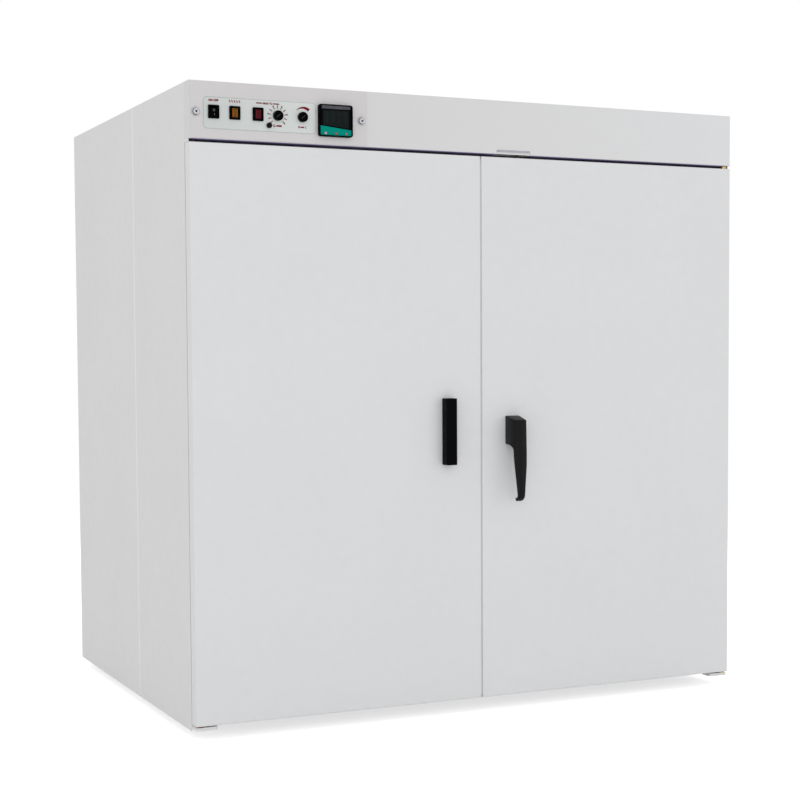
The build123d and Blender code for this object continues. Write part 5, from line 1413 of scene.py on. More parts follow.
@dataclass(frozen=True)
class Latch:
    """The lever handle and the rod that it drives.

    Args:
        head_low: How far the head's underside lies above the lever's tip.
        lean: How far the lever's face leans back between its tip and its top.
        top_fall: How far the head's top falls towards its front.
        top_lift: How far the top's first section rises at the face, in edge radii.
        arm: The arm's thickness under the head.
        arm_tip: The arm's thickness above the hook.
        neck: How far the curve between the head's underside and the arm drops.
        neck_depth: How far that curve reaches back.
        tip: The radius of the hook's outer curve.
        hook_reach: How far the hook comes back from the lever's face.
        hook_round: How much the hook's last section is drawn in, in edge radii.
        base_half: Half the head's width at the door.
        face_half: Half the head's width at its face.
        tip_half: Half the width at the tip.
        facet: How far the bevels along the lever's face go in.
        facet_depth: The largest share of a section's depth that a bevel takes.
        facet_width: The largest share of its half width that a bevel takes.
        edge: How far its other edges are rounded.
        edge_depth: The largest share of a section's depth that a round takes.
        head_levels: Where the head's middle sections lie, as shares of its height.
        neck_steps: How many steps the neck's curve has.
        arm_steps: How many the arm has.
        hook_steps: How many the hook's curve has.
    """

    head_low: float = 94.5 * MM
    lean: float = 4.0 * MM
    top_fall: float = 6.5 * MM
    top_lift: float = 0.2
    arm: float = 10.0 * MM
    arm_tip: float = 5.8 * MM
    neck: float = 11.0 * MM
    neck_depth: float = 21.0 * MM
    tip: float = 12.0 * MM
    hook_reach: float = 14.0 * MM
    hook_round: float = 0.35
    base_half: float = 13.4 * MM
    face_half: float = 10.8 * MM
    tip_half: float = 5.5 * MM
    facet: float = 2.4 * MM
    facet_depth: float = 0.4
    facet_width: float = 0.45
    edge: float = 1.1 * MM
    edge_depth: float = 0.3
    head_levels: tuple[float, ...] = (0.75, 0.5, 0.25)
    neck_steps: int = 7
    arm_steps: int = 6
    hook_steps: int = 8

    def build(self, frame: dict, palette: Palette) -> None:
        """Finish the latch's nodes and put the moulded lever in place of the plain one.

        Args:
            frame: What the frame was loaded as.
            palette: The materials.
        """
        palette.paint(frame, Look.LEVER, "lever_handle")
        palette.paint(frame, Look.ZINC, "latch_housing")
        # The rod's dark is partly painted shade where it shows in the gap.
        palette.paint(frame, Look.OXIDE, "latch_rod")
        palette.paint(frame, Look.SCREW, "lever_spindle")
        self.add_lever(palette.materials[Look.LEVER])

    def section(self, front: Pair, back: Pair, halves: Pair) -> np.ndarray:
        """One closed section of the lever, bevelled at the front and rounded at the back.

        Args:
            front: Y and Z of its middle at the lever's face.
            back: Y and Z of its middle at the other side.
            halves: Half its width at the face and at the back.

        Returns:
            Its points about X zero, anticlockwise seen from the tip's side: each lies its share
            of the depth along the way from the front to the back.
        """
        depth = math.dist(front, back)
        facet = min(self.facet, self.facet_depth * depth, self.facet_width * halves[0])
        edge = min(self.edge, self.edge_depth * depth)
        right = [
            (0.0, halves[0] - facet),
            (facet * ROUND_MIDDLE, halves[0] - facet * ROUND_MIDDLE),
            (facet, halves[0]),
            (depth - edge, halves[1]),
            (depth - edge * ROUND_MIDDLE, halves[1] - edge * ROUND_MIDDLE),
            (depth, halves[1] - edge),
        ]
        along, x = np.vstack((right, np.array(right[::-1]) * (1, -1))).T
        share = along / depth
        y = front[0] + (back[0] - front[0]) * share
        z = front[1] + (back[1] - front[1]) * share
        return np.column_stack((x, y, z))

    def half_width(self, height: float) -> float:
        """Half the width that the lever's taper leaves at a height above the tip."""
        share = min(max(height / self.head_low, 0.0), 1.0)
        return self.tip_half + (self.base_half - self.tip_half) * share

    def head_spans(self, full: float, height: float) -> list[Span]:
        """The head's sections, from its top down to its underside.

        Args:
            full: The lever's depth from its face to the door.
            height: Its height.

        Returns:
            Both ends of each section, as depths behind the face and heights above the tip, and
            how much narrower than the taper it is.
        """
        edge = self.edge
        part = ROUND_MIDDLE * edge
        top = height - self.top_fall
        spans = [
            ((self.lean + edge, top + self.top_lift * edge), (full, height), edge),
            ((self.lean + part, top - part), (full, height - part), part),
            ((self.lean, top - edge), (full, height - edge), 0.0),
        ]
        for share in self.head_levels:
            level = self.head_low + (top - edge - self.head_low) * share
            back_level = self.head_low + (height - edge - self.head_low) * share
            spans.append(((self.lean * level / height, level), (full, back_level), 0.0))
        lean = self.lean * self.head_low / height
        spans.append(((lean, self.head_low + edge), (full, self.head_low + edge), 0.0))
        spans.append(((lean, self.head_low), (full - edge, self.head_low), 0.0))
        return spans

    def arm_spans(self, height: float) -> list[Span]:
        """The sections of the neck's curve and of the arm under it, down to the hook.

        Args:
            height: The lever's height.

        Returns:
            The sections, as in head_spans.
        """
        levels = []
        for step in range(self.neck_steps + 1):
            turn = math.radians(90 * step / self.neck_steps)
            level = self.head_low - self.neck * (1 - math.cos(turn))
            levels.append((level, self.arm + self.neck_depth * (1 - math.sin(turn))))
        arm_top = self.head_low - self.neck
        for step in range(1, self.arm_steps + 1):
            share = step / self.arm_steps
            level = arm_top + (self.tip - arm_top) * share
            levels.append((level, self.arm + (self.arm_tip - self.arm) * share))
        return [((self.lean * level / height, level), (back, level), 0.0) for level, back in levels]

    def hook_spans(self) -> list[Span]:
        """The sections of the hook at the tip, which turns back towards the door.

        Returns:
            The sections, as in head_spans.
        """
        inner = self.tip - self.arm_tip
        spans = []
        for step in range(1, self.hook_steps + 1):
            turn = math.radians(90 * step / self.hook_steps)
            outer_point = (self.tip * (1 - math.cos(turn)), self.tip * (1 - math.sin(turn)))
            inner_point = (self.tip - inner * math.cos(turn), self.tip - inner * math.sin(turn))
            spans.append((outer_point, inner_point, 0.0))
        reach = self.hook_reach
        part = self.hook_round * self.edge
        end_top = self.tip - inner
        spans.append(((reach - self.edge, 0.0), (reach - self.edge, end_top), 0.0))
        spans.append(((reach, part), (reach, end_top - part), part))
        return spans

    def add_lever(self, material: Material) -> None:
        """Build the lever from the sections of its head, its arm and its hook.

        Args:
            material: The black moulding.
        """
        low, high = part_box("lever_handle")
        middle = np.array(((low.x + high.x) / 2, 0.0, 0.0))
        full = high.y - low.y
        height = high.z - low.z
        rings = []
        spans = self.head_spans(full, height) + self.arm_spans(height) + self.hook_spans()
        for front, back, shrink in spans:
            width = self.half_width((front[1] + back[1]) / 2)
            share = back[0] / full
            at_back = min(width, self.face_half + (self.base_half - self.face_half) * share)
            halves = (min(width, self.face_half) - shrink, at_back - shrink)
            start = (low.y + front[0], low.z + front[1])
            end = (low.y + back[0], low.z + back[1])
            rings.append(self.section(start, end, halves) + middle)
        lever = make_piece("moulded_lever", loft(rings), material, "lever")
        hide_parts("lever_handle")


@dataclass(frozen=True)
class Label:
    """The control plate and its label with the printed marks.

    Args:
        border_inset: How far the border's middle stays inside the label's edge.
        border_corner: The radius of its corners.
        border_steps: How many steps each of its corners has.
        border_width: Its width.
        ink: How far the printed marks stand on the label.
        line: The width of the printed lines.
        word_height: The height of the small printed words.
        word_rise: How far above the lamps' middle the words stand.
        wave_count: How many heat waves stand over the amber lamp.
        wave_pitch: The distance between them.
        wave_swing: How far each swings to its sides.
        wave_steps: How many steps each has.
        bar_start: Where the bars beside the limit's words begin, from the words' middle.
        bar_end: Where they end.
        bar_line: Their width, in lines.
        loop_offset: How far right of the reset button the small C stands.
        loop_radius: Its radius.
        loop_steps: How many steps it has.
        dash_offset: Where the dash beside it begins, from the C's middle.
        dash_length: The dash's length.
        dash_line: The dash's width, in lines.
        digit_offset: How far the digits under the vent knob stand from its middle.
        digit_bar: Half the length of the bar between them.
        digit_line: That bar's width, in lines.
        tick_inner: The dial ticks' inner radius.
        tick_outer: The dial ticks' outer radius.
        tick_count: How many ticks there are.
        tick_start: The first tick's angle in degrees, anticlockwise from the right.
        tick_sweep: The angle from the first tick to the last, clockwise.
        tick_bar: Half the length of the bars at every second tick's end.
        wedge_inner: The radius of the vent wedge's middle at its thin end.
        wedge_outer: The same at its thick end.
        wedge_start: The wedge's thin end, in degrees.
        wedge_end: The wedge's thick end, in degrees.
        wedge_thin: The wedge's width at its thin end.
        wedge_thick: The wedge's width at its thick end.
        wedge_steps: How many steps it has.
    """

    border_inset: float = 0.8 * MM
    border_corner: float = 5.2 * MM
    border_steps: int = 8
    border_width: float = 0.9 * MM
    ink: float = 0.06 * MM
    line: float = 1.3 * MM
    word_height: float = 3.7 * MM
    word_rise: float = 17.4 * MM
    wave_count: int = 5
    wave_pitch: float = 3.9 * MM
    wave_swing: float = 0.8 * MM
    wave_steps: int = 8
    bar_start: float = 8.5 * MM
    bar_end: float = 19.0 * MM
    bar_line: float = 1.4
    loop_offset: float = 9.0 * MM
    loop_radius: float = 1.4 * MM
    loop_steps: int = 14
    dash_offset: float = 3.0 * MM
    dash_length: float = 9.0 * MM
    dash_line: float = 2.0
    digit_offset: float = 5.6 * MM
    digit_bar: float = 3.2 * MM
    digit_line: float = 1.6
    tick_inner: float = 11.4 * MM
    tick_outer: float = 16.2 * MM
    tick_count: int = 11
    tick_start: float = 225.0
    tick_sweep: float = 270.0
    tick_bar: float = 1.3 * MM
    wedge_inner: float = 13.7 * MM
    wedge_outer: float = 15.9 * MM
    wedge_start: float = 133.0
    wedge_end: float = 45.0
    wedge_thin: float = 0.5 * MM
    wedge_thick: float = 5.2 * MM
    wedge_steps: int = 24

    def build(self, frame: dict, palette: Palette) -> None:
        """Finish the plate and the label and print the marks.

        Args:
            frame: What the frame was loaded as.
            palette: The materials.
        """
        palette.paint(frame, Look.PLATE, "control_plate")
        palette.paint(frame, Look.LABEL, "control_label")
        ink = palette.materials[Look.INK]
        self.add_border(palette.materials[Look.LABEL_BORDER])
        self.add_marks(ink)
        self.add_dial(ink)
        self.add_wedge(ink)

    def face(self) -> Pair:
        """Y of the label's face and of the ink's face."""
        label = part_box("control_label")[0].y
        return label, label - self.ink

    def stroke(self, path: Points, lines: float = 1.0) -> Mesh:
        """A printed line along a path, its width given in lines."""
        back, front = self.face()
        return drawn(path, lines * self.line, back, front)

    def word(self, text: str, x: float, z: float) -> Mesh:
        """A small printed word about a place."""
        back, front = self.face()
        return letters(text, self.word_height, (x, z), back, front)

    def add_border(self, material: Material) -> None:
        """Add the soft darker line round the label's edge.

        Args:
            material: The border's film.
        """
        centre, half = middle_of("control_label")
        back, front = self.face()
        inset = self.border_inset
        outline = rounded_outline(
            half.x - inset, half.z - inset, self.border_corner, self.border_steps
        )
        path = outline + (centre.x, centre.z)
        border = drawn(path, self.border_width, back, front, closed=True)
        make_piece("label_border", border, material)

    def heat_wave(self, x: float, z: float) -> Points:
        """One upright wave of rising heat, a sine of one turn.

        Args:
            x: X of its middle.
            z: Z of its middle.

        Returns:
            X and Z along the wave.
        """
        shares = np.arange(self.wave_steps + 1) / self.wave_steps
        swing = self.wave_swing * np.sin(2 * math.pi * shares)
        return np.column_stack((x + swing, z + (shares - 0.5) * self.word_height))

    def add_marks(self, material: Material) -> None:
        """Add the plain marks over the switch and the lamps and under the knobs.

        Args:
            material: The ink.
        """
        rocker = middle_of("power_rocker")[0]
        amber = middle_of("amber_lens")[0]
        red = middle_of("red_lens")[0]
        reset = middle_of("reset_button")[0]
        knob = middle_of("thermostat_knob")[0]
        vent = middle_of("vent_knob")[0]
        z = amber.z + self.word_rise
        parts = [self.word("ON OFF", rocker.x, z)]
        for index in range(self.wave_count):
            x = amber.x + (index - (self.wave_count - 1) / 2) * self.wave_pitch
            parts.append(self.stroke(self.heat_wave(x, z)))
        middle = (red.x + knob.x) / 2
        parts.append(self.word("MAX °C", middle, z))
        for side in (-1, 1):
            bar = [(middle + side * self.bar_start, z), (middle + side * self.bar_end, z)]
            parts.append(self.stroke(bar, self.bar_line))
        loop_x = reset.x + self.loop_offset
        loop = arc((loop_x, reset.z), self.loop_radius, 60, 360, self.loop_steps)
        parts.append(self.stroke(loop))
        start = loop_x + self.dash_offset
        dash = [(start, reset.z), (start + self.dash_length, reset.z)]
        parts.append(self.stroke(dash, self.dash_line))
        parts.append(self.word("0", vent.x - self.digit_offset, reset.z))
        parts.append(self.word("1", vent.x + self.digit_offset, reset.z))
        span = [(vent.x - self.digit_bar, reset.z), (vent.x + self.digit_bar, reset.z)]
        parts.append(self.stroke(span, self.digit_line))
        make_piece("printed_marks", merged(parts), material)

    def add_dial(self, material: Material) -> None:
        """Add the thermostat's ticks, every second one ending in a short bar.

        Args:
            material: The ink.
        """
        back, front = self.face()
        centre = middle_of("thermostat_knob")[0]
        middle = np.array((centre.x, centre.z))
        parts = []
        for index in range(self.tick_count):
            angle = math.radians(self.tick_start - self.tick_sweep * index / (self.tick_count - 1))
            ray = np.array((math.cos(angle), math.sin(angle)))
            outer = middle + ray * self.tick_outer
            tick = [tuple(middle + ray * self.tick_inner), tuple(outer)]
            parts.append(drawn(tick, self.line, back, front))
            if index % 2 == 0:
                across = np.array((-ray[1], ray[0])) * self.tick_bar
                bar = [tuple(outer - across), tuple(outer + across)]
                parts.append(drawn(bar, self.line, back, front - self.ink / 4))
        make_piece("dial_ticks", merged(parts), material)

    def add_wedge(self, material: Material) -> None:
        """Add the vent's wedge, thin at the left and thick at the right.

        Args:
            material: The ink.
        """
        back, front = self.face()
        centre = middle_of("vent_knob")[0]
        count = self.wedge_steps + 1
        angles = np.radians(np.linspace(self.wedge_start, self.wedge_end, count))
        radii = np.linspace(self.wedge_inner, self.wedge_outer, count)
        path = np.column_stack((radii * np.cos(angles), radii * np.sin(angles)))
        path += (centre.x, centre.z)
        widths = np.linspace(self.wedge_thin, self.wedge_thick, count)
        make_piece("vent_wedge", drawn(path, widths, back, front), material)


@dataclass(frozen=True)
class Fittings:
    """The switch, the lamps, the knobs and the screws of the control plate.

    Args:
        screw_head: The radius of the cap screws' heads.
        socket_depth: How deep their sockets are.
        socket_half: Half the width of a socket's dark floor.
        socket_corner: The radius of the floor's corners.
        lining: How far dark floors reach in behind and stand out of the face under them.
        cup_inner: The inner radius of the screws' cup washers.
        cup_outer: Their outer radius.
        cup_rise: How far they stand out.
        lip_width: The width of the rounded lips on the bezels.
        lip_rise: How far the lips stand out.
        lip_sink: How far their feet lie behind the bezels' face.
        bezel_width: The bezels' outer width.
        bezel_height: The bezels' outer height.
        bezel_corner: The radius of their corners.
        rocker_lean: How far the rocker's face is tilted, in degrees.
        rocker_depth: How far its pivot lies behind the bezels' face.
        rocker_sink: How far the middle of its face lies behind the bezels' face.
        rocker_slope: How far its halves come forward for each unit of height.
        print_rise: How far the marks on it stand out.
        ring_rise: How far above the middle its ring is printed.
        ring_radius: The ring's radius.
        ring_end: Where the ring ends, in degrees.
        ring_steps: How many steps the ring has.
        ring_line: The ring's width.
        dash_offset: How far right of the middle the bar is printed.
        dash_top: How far under the middle the bar begins.
        dash_foot: How far under the middle it ends.
        dash_line: The bar's width.
        slot_angle: The knobs' slot, in degrees from the right.
        slot_length: The length of the lighter part of the slot.
        slot_width: Its width.
        slot_depth: How deep it lies.
        slot_rise: How far it stands out of the slot's floor.
    """

    screw_head: float = 4.5 * MM
    socket_depth: float = 2.45 * MM
    socket_half: float = 1.7 * MM
    socket_corner: float = 1.6 * MM
    lining: float = 0.1 * MM
    cup_inner: float = 4.6 * MM
    cup_outer: float = 7.0 * MM
    cup_rise: float = 1.1 * MM
    lip_width: float = 1.5 * MM
    lip_rise: float = 0.5 * MM
    lip_sink: float = 0.05 * MM
    bezel_width: float = 17.5 * MM
    bezel_height: float = 20.5 * MM
    bezel_corner: float = 1.8 * MM
    rocker_lean: float = 8.0
    rocker_depth: float = 6.0 * MM
    rocker_sink: float = 0.2 * MM
    rocker_slope: float = 0.124
    print_rise: float = 0.15 * MM
    ring_rise: float = 3.2 * MM
    ring_radius: float = 1.5 * MM
    ring_end: float = 345.0
    ring_steps: int = 20
    ring_line: float = 0.6 * MM
    dash_offset: float = 0.9 * MM
    dash_top: float = 1.6 * MM
    dash_foot: float = 4.4 * MM
    dash_line: float = 0.9 * MM
    slot_angle: float = 40.0
    slot_length: float = 8.0 * MM
    slot_width: float = 1.5 * MM
    slot_depth: float = 1.2 * MM
    slot_rise: float = 0.25 * MM

    def build(self, frame: dict, palette: Palette) -> None:
        """Finish the plate's fittings and add sockets, washers, lips and slots.

        Args:
            frame: What the frame was loaded as.
            palette: The materials.
        """
        palette.paint(frame, Look.SCREW, "plate_screws")
        palette.paint(frame, Look.GLOSS, "switch_bezels", "power_rocker")
        palette.paint(frame, Look.GLOSS, "thermostat_knob", "vent_knob")
        palette.paint(frame, Look.BLACK, "reset_button", "thermostat_body")
        palette.paint(frame, Look.AMBER, "amber_lens")
        palette.paint(frame, Look.RED, "red_lens")
        self.add_sockets(palette.materials[Look.RECESS])
        # The cups' darker zinc is painted shade round the screw heads.
        self.add_cups(palette.materials[Look.ZINC])
        self.add_lips(palette.materials[Look.GLOSS])
        self.add_rocker_marks(palette.materials[Look.PALE_INK])
        self.add_slots(palette.materials[Look.SLOT])

    def screw_places(self) -> Points:
        """Where both cap screws are.

        Returns:
            X and Z of each.
        """
        low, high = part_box("plate_screws")
        z = (low.z + high.z) / 2
        return [(low.x + self.screw_head, z), (high.x - self.screw_head, z)]

    def add_sockets(self, material: Material) -> None:
        """Paint shade on the bottom of the cap screws' sockets.

        Args:
            material: The painted shade of the sockets.
        """
        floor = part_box("plate_screws")[0].y + self.socket_depth
        outline = rounded_outline(self.socket_half, self.socket_half, self.socket_corner)
        parts = []
        for place in self.screw_places():
            parts.append(front_slab(outline, place, floor + self.lining, floor - self.lining))
        make_piece("socket_floors", merged(parts), material)

    def add_cups(self, material: Material) -> None:
        """Put a pressed cup washer round the head of each cap screw, in darker zinc as painted
        shade round the heads.

        Args:
            material: The plated sheet, darker than the screws as painted shade.
        """
        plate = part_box("control_plate")[0].y
        profile = half_round(self.cup_outer - self.cup_inner, plate, self.cup_rise)
        half = (self.cup_outer, self.cup_outer)
        parts = []
        for place in self.screw_places():
            parts.append(lip_frame(place, half, self.cup_outer, profile))
        make_piece("cup_washers", merged(parts), material)

    def add_lips(self, material: Material) -> None:
        """Add a rounded lip round the edge of each bezel.

        Args:
            material: The bezels' moulding.
        """
        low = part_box("switch_bezels")[0]
        profile = half_round(self.lip_width, low.y + self.lip_sink, self.lip_rise)
        half = (self.bezel_width / 2, self.bezel_height / 2)
        parts = []
        for node in ("power_rocker", "amber_lens", "red_lens"):
            centre = middle_of(node)[0]
            place = (centre.x, low.z + half[1])
            parts.append(lip_frame(place, half, self.bezel_corner, profile))
        make_piece("bezel_lips", merged(parts), material)

    def add_rocker_marks(self, material: Material) -> None:
        """Print a ring on the rocker's upper half and a short bar on its lower half.

        The marks are drawn flat about the rocker's pivot and then leaned with its face, which is
        turned by y' = y cos(a) - z sin(a), z' = y sin(a) + z cos(a).

        Args:
            material: The pale ink.
        """
        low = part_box("switch_bezels")[0]
        ring = arc((0.0, self.ring_rise), self.ring_radius, 0, self.ring_end, self.ring_steps)
        bar = [(self.dash_offset, -self.dash_top), (self.dash_offset, -self.dash_foot)]
        points, faces = merged(
            [
                drawn(ring, self.ring_line, 0.0, -self.print_rise),
                drawn(bar, self.dash_line, 0.0, -self.print_rise),
            ]
        )
        x, y, z = points.T
        y = y - self.rocker_depth + self.rocker_sink - self.rocker_slope * np.abs(z)
        lean = math.radians(self.rocker_lean)
        placed = np.empty_like(points)
        placed[:, 0] = middle_of("power_rocker")[0].x + x
        placed[:, 1] = low.y + self.rocker_depth + y * math.cos(lean) - z * math.sin(lean)
        placed[:, 2] = low.z + self.bezel_height / 2 + y * math.sin(lean) + z * math.cos(lean)
        make_piece("rocker_marks", (placed, faces), material, "rocker")

    def add_slots(self, material: Material) -> None:
        """Line the middle of the knobs' slots with a lighter grey, a painted highlight.

        Args:
            material: The lighter grey moulding of the painted highlight.
        """
        angle = math.radians(self.slot_angle)
        reach = self.slot_length / 2
        step = (reach * math.cos(angle), reach * math.sin(angle))
        for name, node, body in (
            ("thermostat_slot", "thermostat_knob", "thermostat"),
            ("vent_slot", "vent_knob", "vent"),
        ):
            low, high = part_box(node)
            x = (low.x + high.x) / 2
            z = (low.z + high.z) / 2
            path = [(x - step[0], z - step[1]), (x + step[0], z + step[1])]
            floor = low.y + self.slot_depth
            slot = drawn(path, self.slot_width, floor + self.lining, floor - self.slot_rise)
            make_piece(name, slot, material, body)


@dataclass(frozen=True)
class Controller:
    """The temperature controller's case, window, keys and face.

    Args:
        lip_width: The width of the rounded lip round its front.
        lip_rise: How far the lip stands out.
        lip_inset: How far the lip stays inside the case's edge.
        lip_corner: The radius of the lip's corners.
        sink: How far shapes on the face reach in behind the face under them.
        band_inset: How far the teal band stays inside the case's edge.
        band_left: The band's height at its left end.
        band_right: Its height at its right end.
        band_corner: How far its lower corners are cut off.
        band_depth: Its thickness.
        brow_inset: How far the bar over the window stays inside the case's edge.
        brow_height: That bar's height.
        brow_corner: The radius of its corners.
        brow_sink: How far it reaches in behind the case's face.
        brow_rise: How far it stands out.
        field_side: How far the display's field stays inside the case's sides.
        field_gap: The black edge over and under the field.
        field_rise: How far the field stands out of the window.
        row_drops: How far the middles of the digits' rows lie under the window's top.
        row_heights: The digits' heights in those rows.
        digits: How many digits a row has.
        digit_pitch: The distance between them.
        digit_width: Their width, as a share of their height.
        segment_gap: How far a bar stays away from the digit's corners.
        segment_width: The bars' width.
        segment_rise: How far the bars stand out of the window.
    """

    lip_width: float = 1.8 * MM
    lip_rise: float = 0.55 * MM
    lip_inset: float = 0.1 * MM
    lip_corner: float = 4.0 * MM
    sink: float = 0.05 * MM
    band_inset: float = 2.1 * MM
    band_left: float = 14.6 * MM
    band_right: float = 9.0 * MM
    band_corner: float = 1.0 * MM
    band_depth: float = 0.3 * MM
    brow_inset: float = 2.2 * MM
    brow_height: float = 5.0 * MM
    brow_corner: float = 0.8 * MM
    brow_sink: float = 0.2 * MM
    brow_rise: float = 0.1 * MM
    field_side: float = 6.8 * MM
    field_gap: float = 1.7 * MM
    field_rise: float = 0.02 * MM
    row_drops: Pair = (5.6 * MM, 15.4 * MM)
    row_heights: Pair = (7.0 * MM, 6.0 * MM)
    digits: int = 4
    digit_pitch: float = 10.5 * MM
    digit_width: float = 0.55
    segment_gap: float = 0.5 * MM
    segment_width: float = 0.7 * MM
    segment_rise: float = 0.03 * MM

    def build(self, frame: dict, palette: Palette) -> None:
        """Finish the controller's nodes and add what its face shows.

        Args:
            frame: What the frame was loaded as.
            palette: The materials.
        """
        palette.paint(frame, Look.CASE, "controller_case")
        palette.paint(frame, Look.WINDOW, "controller_window")
        palette.paint(frame, Look.KEY, "key_middle")
        palette.paint(frame, Look.PALE_KEY, "key_left")
        palette.paint(frame, Look.DIM_KEY, "key_right")
        self.add_lip(palette.materials[Look.CASE])
        self.add_field(palette.materials[Look.FIELD])
        self.add_brow(palette.materials[Look.BROW])
        self.add_band(palette.materials[Look.TEAL])
        self.add_segments(palette.materials[Look.SEGMENTS])

    def add_lip(self, material: Material) -> None:
        """Add the rounded moulding round the controller's front.

        Args:
            material: The case's moulding.
        """
        centre, half = middle_of("controller_case")
        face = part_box("controller_case")[0].y
        profile = half_round(self.lip_width, face + self.sink, self.lip_rise)
        size = (half.x - self.lip_inset, half.z - self.lip_inset)
        lip = lip_frame((centre.x, centre.z), size, self.lip_corner, profile)
        make_piece("controller_lip", lip, material)

    def add_field(self, material: Material) -> None:
        """Add the display's own field behind the glass, which ends above the slanting band.

        Args:
            material: The display's field.
        """
        low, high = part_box("controller_case")
        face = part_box("controller_window")[0].y
        left = low.x + self.field_side
        right = high.x - self.field_side
        foot = low.z + self.band_inset + self.field_gap
        slant = (self.band_right - self.band_left) / (high.x - low.x) * self.field_side
        top = high.z - self.brow_inset - self.brow_height - self.field_gap
        outline = [
            (left, foot + self.band_left + slant),
            (right, foot + self.band_right - slant),
            (right, top),
            (left, top),
        ]
        field = front_slab(
            np.array(outline), (0.0, 0.0), face + self.sink, face - self.field_rise
        )
        make_piece("display_field", field, material)

    def add_brow(self, material: Material) -> None:
        """Add the lighter bar over the controller's window, a painted highlight along the case's
        top.

        Args:
            material: The bar's violet grey, a painted highlight.
        """
        low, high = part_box("controller_case")
        half = ((high.x - low.x) / 2 - 2 * self.brow_inset, self.brow_height / 2)
        centre = ((low.x + high.x) / 2, high.z - self.brow_inset - half[1])
        outline = rounded_outline(*half, self.brow_corner)
        brow = front_slab(outline, centre, low.y + self.brow_sink, low.y - self.brow_rise)
        make_piece("controller_brow_highlight", brow, material)

    def add_band(self, material: Material) -> None:
        """Add the teal band under the controller's window, its upper edge slanting down.

        Args:
            material: The teal film.
        """
        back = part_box("controller_window")[1].y + self.sink
        low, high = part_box("controller_case")
        bottom = low.z + self.band_inset
        left = low.x + self.band_inset
        right = high.x - self.band_inset
        corner = self.band_corner
        outline = [
            (left, bottom + corner),
            (left + corner, bottom),
            (right - corner, bottom),
            (right, bottom + corner),
            (right, bottom + self.band_right),
            (left, bottom + self.band_left),
        ]
        band = front_slab(np.array(outline), (0.0, 0.0), back, back - self.band_depth)
        make_piece("controller_band", band, material)

    def segment(self, start: Pair, end: Pair) -> Mesh:
        """One unlit bar of a digit, just behind the window's face."""
        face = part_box("controller_window")[0].y
        return drawn([start, end], self.segment_width, face + self.sink, face - self.segment_rise)

    def add_segments(self, material: Material) -> None:
        """Add two rows of unlit digits, seven bars for each digit.

        Args:
            material: The unlit bars.
        """
        low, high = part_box("controller_window")
        gap = self.segment_gap
        parts = []
        for drop, height in zip(self.row_drops, self.row_heights):
            middle = high.z - drop
            half = self.digit_width * height / 2
            for index in range(self.digits):
                place = index - (self.digits - 1) / 2
                x = (low.x + high.x) / 2 + place * self.digit_pitch
                for level in (-1, 0, 1):
                    z = middle + level * height / 2
                    parts.append(self.segment((x - half + gap, z), (x + half - gap, z)))
                for bar_x in (x - half, x + half):
                    for foot in (middle - height / 2, middle):
                        top = foot + height / 2
                        parts.append(self.segment((bar_x, foot + gap), (bar_x, top - gap)))
        make_piece("unlit_digits", merged(parts), material)


# Studio


@dataclass(frozen=True)
class Lamp:
    """A square soft lamp that looks at the oven's middle.

    Args:
        name: Its name.
        place: Where it hangs.
        size: The length of its side.
        watts: Its power.
        aim: Where it looks.
    """

    name: str
    place: Place
    size: float
    watts: float
    aim: Place = (0.0, 0.0, 0.5)

    def hang(self) -> None:
        """Add the lamp to the scene."""
        data = bpy.data.lights.new(self.name, "AREA")
        data.shape = "SQUARE"
        data.size = self.size
        data.energy = self.watts
        lamp = bpy.data.objects.new(self.name, data)
        towards = Vector(self.aim) - Vector(self.place)
        turn = towards.to_track_quat("-Z", "Y").to_matrix().to_4x4()
        lamp.matrix_world = Matrix.Translation(self.place) @ turn
        bpy.context.scene.collection.objects.link(lamp)


LAMPS = (
    Lamp("key_lamp", (-1.2, -4.4, 0.8), 3.2, 24.0),
    Lamp("fill_lamp", (3.4, -3.6, 0.8), 2.6, 10.5),
    Lamp("left_lamp", (-4.6, -0.6, 1.4), 2.8, 10.5),
)


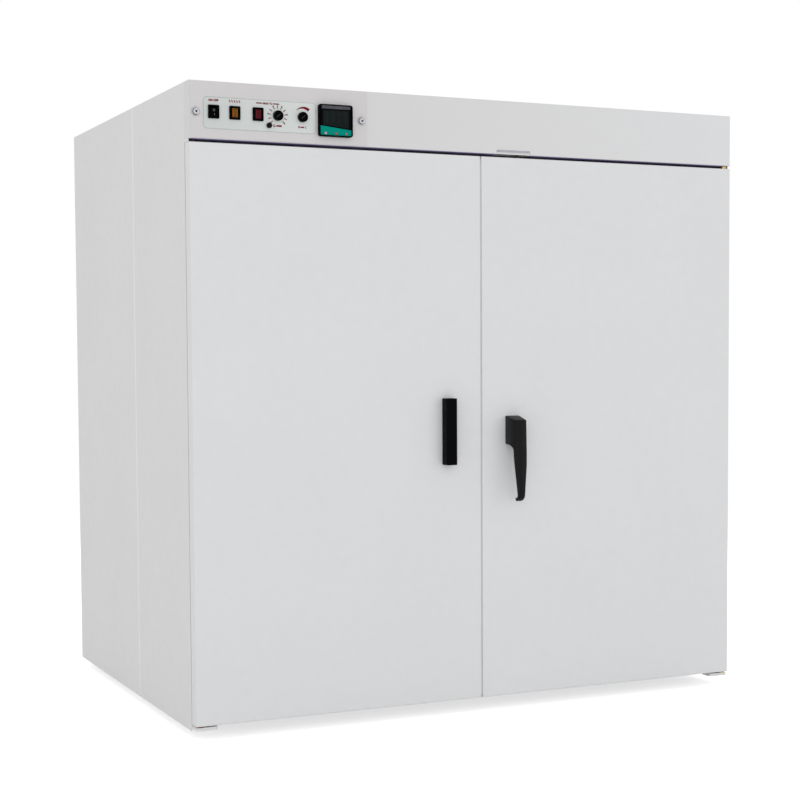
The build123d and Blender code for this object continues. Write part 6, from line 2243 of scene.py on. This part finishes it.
@dataclass(frozen=True)
class Studio:
    """The camera, the pale floor and the soft lamps.

    Args:
        place: Where the camera stands.
        yaw: How far it looks to the right of straight at the doors, in degrees.
        pitch: How far it looks up, in degrees.
        roll: How far it is turned about its own line of sight, in degrees.
        focal: Its focal length in photo pixels.
        picture: The photo's width in pixels.
        centre_drop: How far the line of sight passes below the picture's middle, in pixels.
        sensor: The sensor's width in millimetres.
        floor_radius: The floor's radius.
        floor_steps: How many corners the floor has.
        floor_colour: How pale it is.
        near_floor: How far from its middle it begins to fade into white.
        far_floor: Where it is white all over.
        floor_lift: The light that it adds for the camera alone.
        surround: How strongly the surroundings light the oven.
    """

    place: Place = (-1.2569, -2.7374, 0.6017)
    yaw: float = 24.924
    pitch: float = -3.078
    roll: float = -0.3175
    focal: float = 1627.9
    picture: float = 800.0
    centre_drop: float = 40.0
    sensor: float = 36.0
    floor_radius: float = 14.0
    floor_steps: int = 96
    floor_colour: Colour = (0.96, 0.96, 0.96)
    near_floor: float = 1.6
    far_floor: float = 3.2
    floor_lift: float = 0.66
    surround: float = 0.74

    def build(self) -> None:
        """Set up the camera, the floor, the surroundings and the lamps."""
        self.add_camera()
        self.add_floor()
        self.light_world()
        for lamp in LAMPS:
            lamp.hang()
        bpy.context.scene.view_settings.view_transform = "Standard"

    def add_camera(self) -> None:
        """Stand the camera where the photo was taken from."""
        data = bpy.data.cameras.new("photo_camera")
        data.sensor_width = self.sensor
        data.lens = self.sensor * self.focal / self.picture
        data.shift_y = self.centre_drop / self.picture
        camera = bpy.data.objects.new("photo_camera", data)
        turn = (
            Matrix.Rotation(-math.radians(self.yaw), 4, "Z")
            @ Matrix.Rotation(math.radians(90 + self.pitch), 4, "X")
            @ Matrix.Rotation(math.radians(self.roll), 4, "Z")
        )
        camera.matrix_world = Matrix.Translation(self.place) @ turn
        bpy.context.scene.collection.objects.link(camera)
        bpy.context.scene.camera = camera

    def add_floor(self) -> None:
        """Lay the floor, a disc that fades into plain white away from the oven."""
        circle = arc((0, 0), self.floor_radius, 0, 360, self.floor_steps)
        mesh = bpy.data.meshes.new("floor")
        ring = np.column_stack((circle[:-1], np.zeros(self.floor_steps)))
        mesh.from_pydata(ring.tolist(), [], [tuple(range(self.floor_steps))])
        mesh.materials.append(self.floor_material())
        floor = bpy.data.objects.new("floor", mesh)
        bpy.context.scene.collection.objects.link(floor)

    def floor_material(self) -> Material:
        """The floor: matt and pale near the oven, white light to the camera further off.

        Returns:
            The material.
        """
        material = bpy.data.materials.new("pale_floor")
        material.use_nodes = True
        material.node_tree.nodes.clear()
        graph = Graph(material.node_tree)
        place = graph.node("ShaderNodeTexCoord").outputs["Object"]
        length = graph.node("ShaderNodeVectorMath", {0: place}, operation="LENGTH")
        distance = length.outputs["Value"]
        far = graph.share(
            distance, self.near_floor, self.far_floor, interpolation_type="SMOOTHSTEP"
        )
        seen = graph.node("ShaderNodeLightPath").outputs["Is Camera Ray"]
        matt = graph.node("ShaderNodeBsdfDiffuse", {"Color": with_alpha(self.floor_colour)})
        strength = graph.math("MULTIPLY", seen, self.floor_lift)
        lift = graph.node("ShaderNodeEmission", {"Strength": strength})
        lifted = graph.node("ShaderNodeAddShader", {0: matt.outputs[0], 1: lift.outputs[0]})
        white = graph.node("ShaderNodeEmission", {"Strength": 1.0})
        blend = {
            0: graph.math("MULTIPLY", far, seen),
            1: lifted.outputs[0],
            2: white.outputs[0],
        }
        mixed = graph.node("ShaderNodeMixShader", blend)
        graph.node("ShaderNodeOutputMaterial", {"Surface": mixed.outputs[0]})
        return material

    def light_world(self) -> None:
        """Surround the oven with even light that the camera sees as white."""
        world = bpy.data.worlds.new("surroundings")
        bpy.context.scene.world = world
        world.use_nodes = True
        world.node_tree.nodes.clear()
        graph = Graph(world.node_tree)
        seen = graph.node("ShaderNodeLightPath").outputs["Is Camera Ray"]
        strength = graph.spread(seen, self.surround, 1.0)
        white = with_alpha((1.0, 1.0, 1.0))
        light = graph.node("ShaderNodeBackground", {"Strength": strength, "Color": white})
        graph.node("ShaderNodeOutputWorld", {"Surface": light.outputs[0]})


def main() -> None:
    """Load the frame, dress it and set up the studio."""
    logging.basicConfig(level=logging.INFO, format="%(name)s: %(message)s")
    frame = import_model()
    palette = Palette()
    for part in (CabinetShell, Chamber, Doors, Latch, Label, Fittings, Controller):
        part().build(frame, palette)
        LOG.info("%s finished", part.__name__)
    Studio().build()
    LOG.info("Studio ready")


if __name__ == "__main__":
    main()
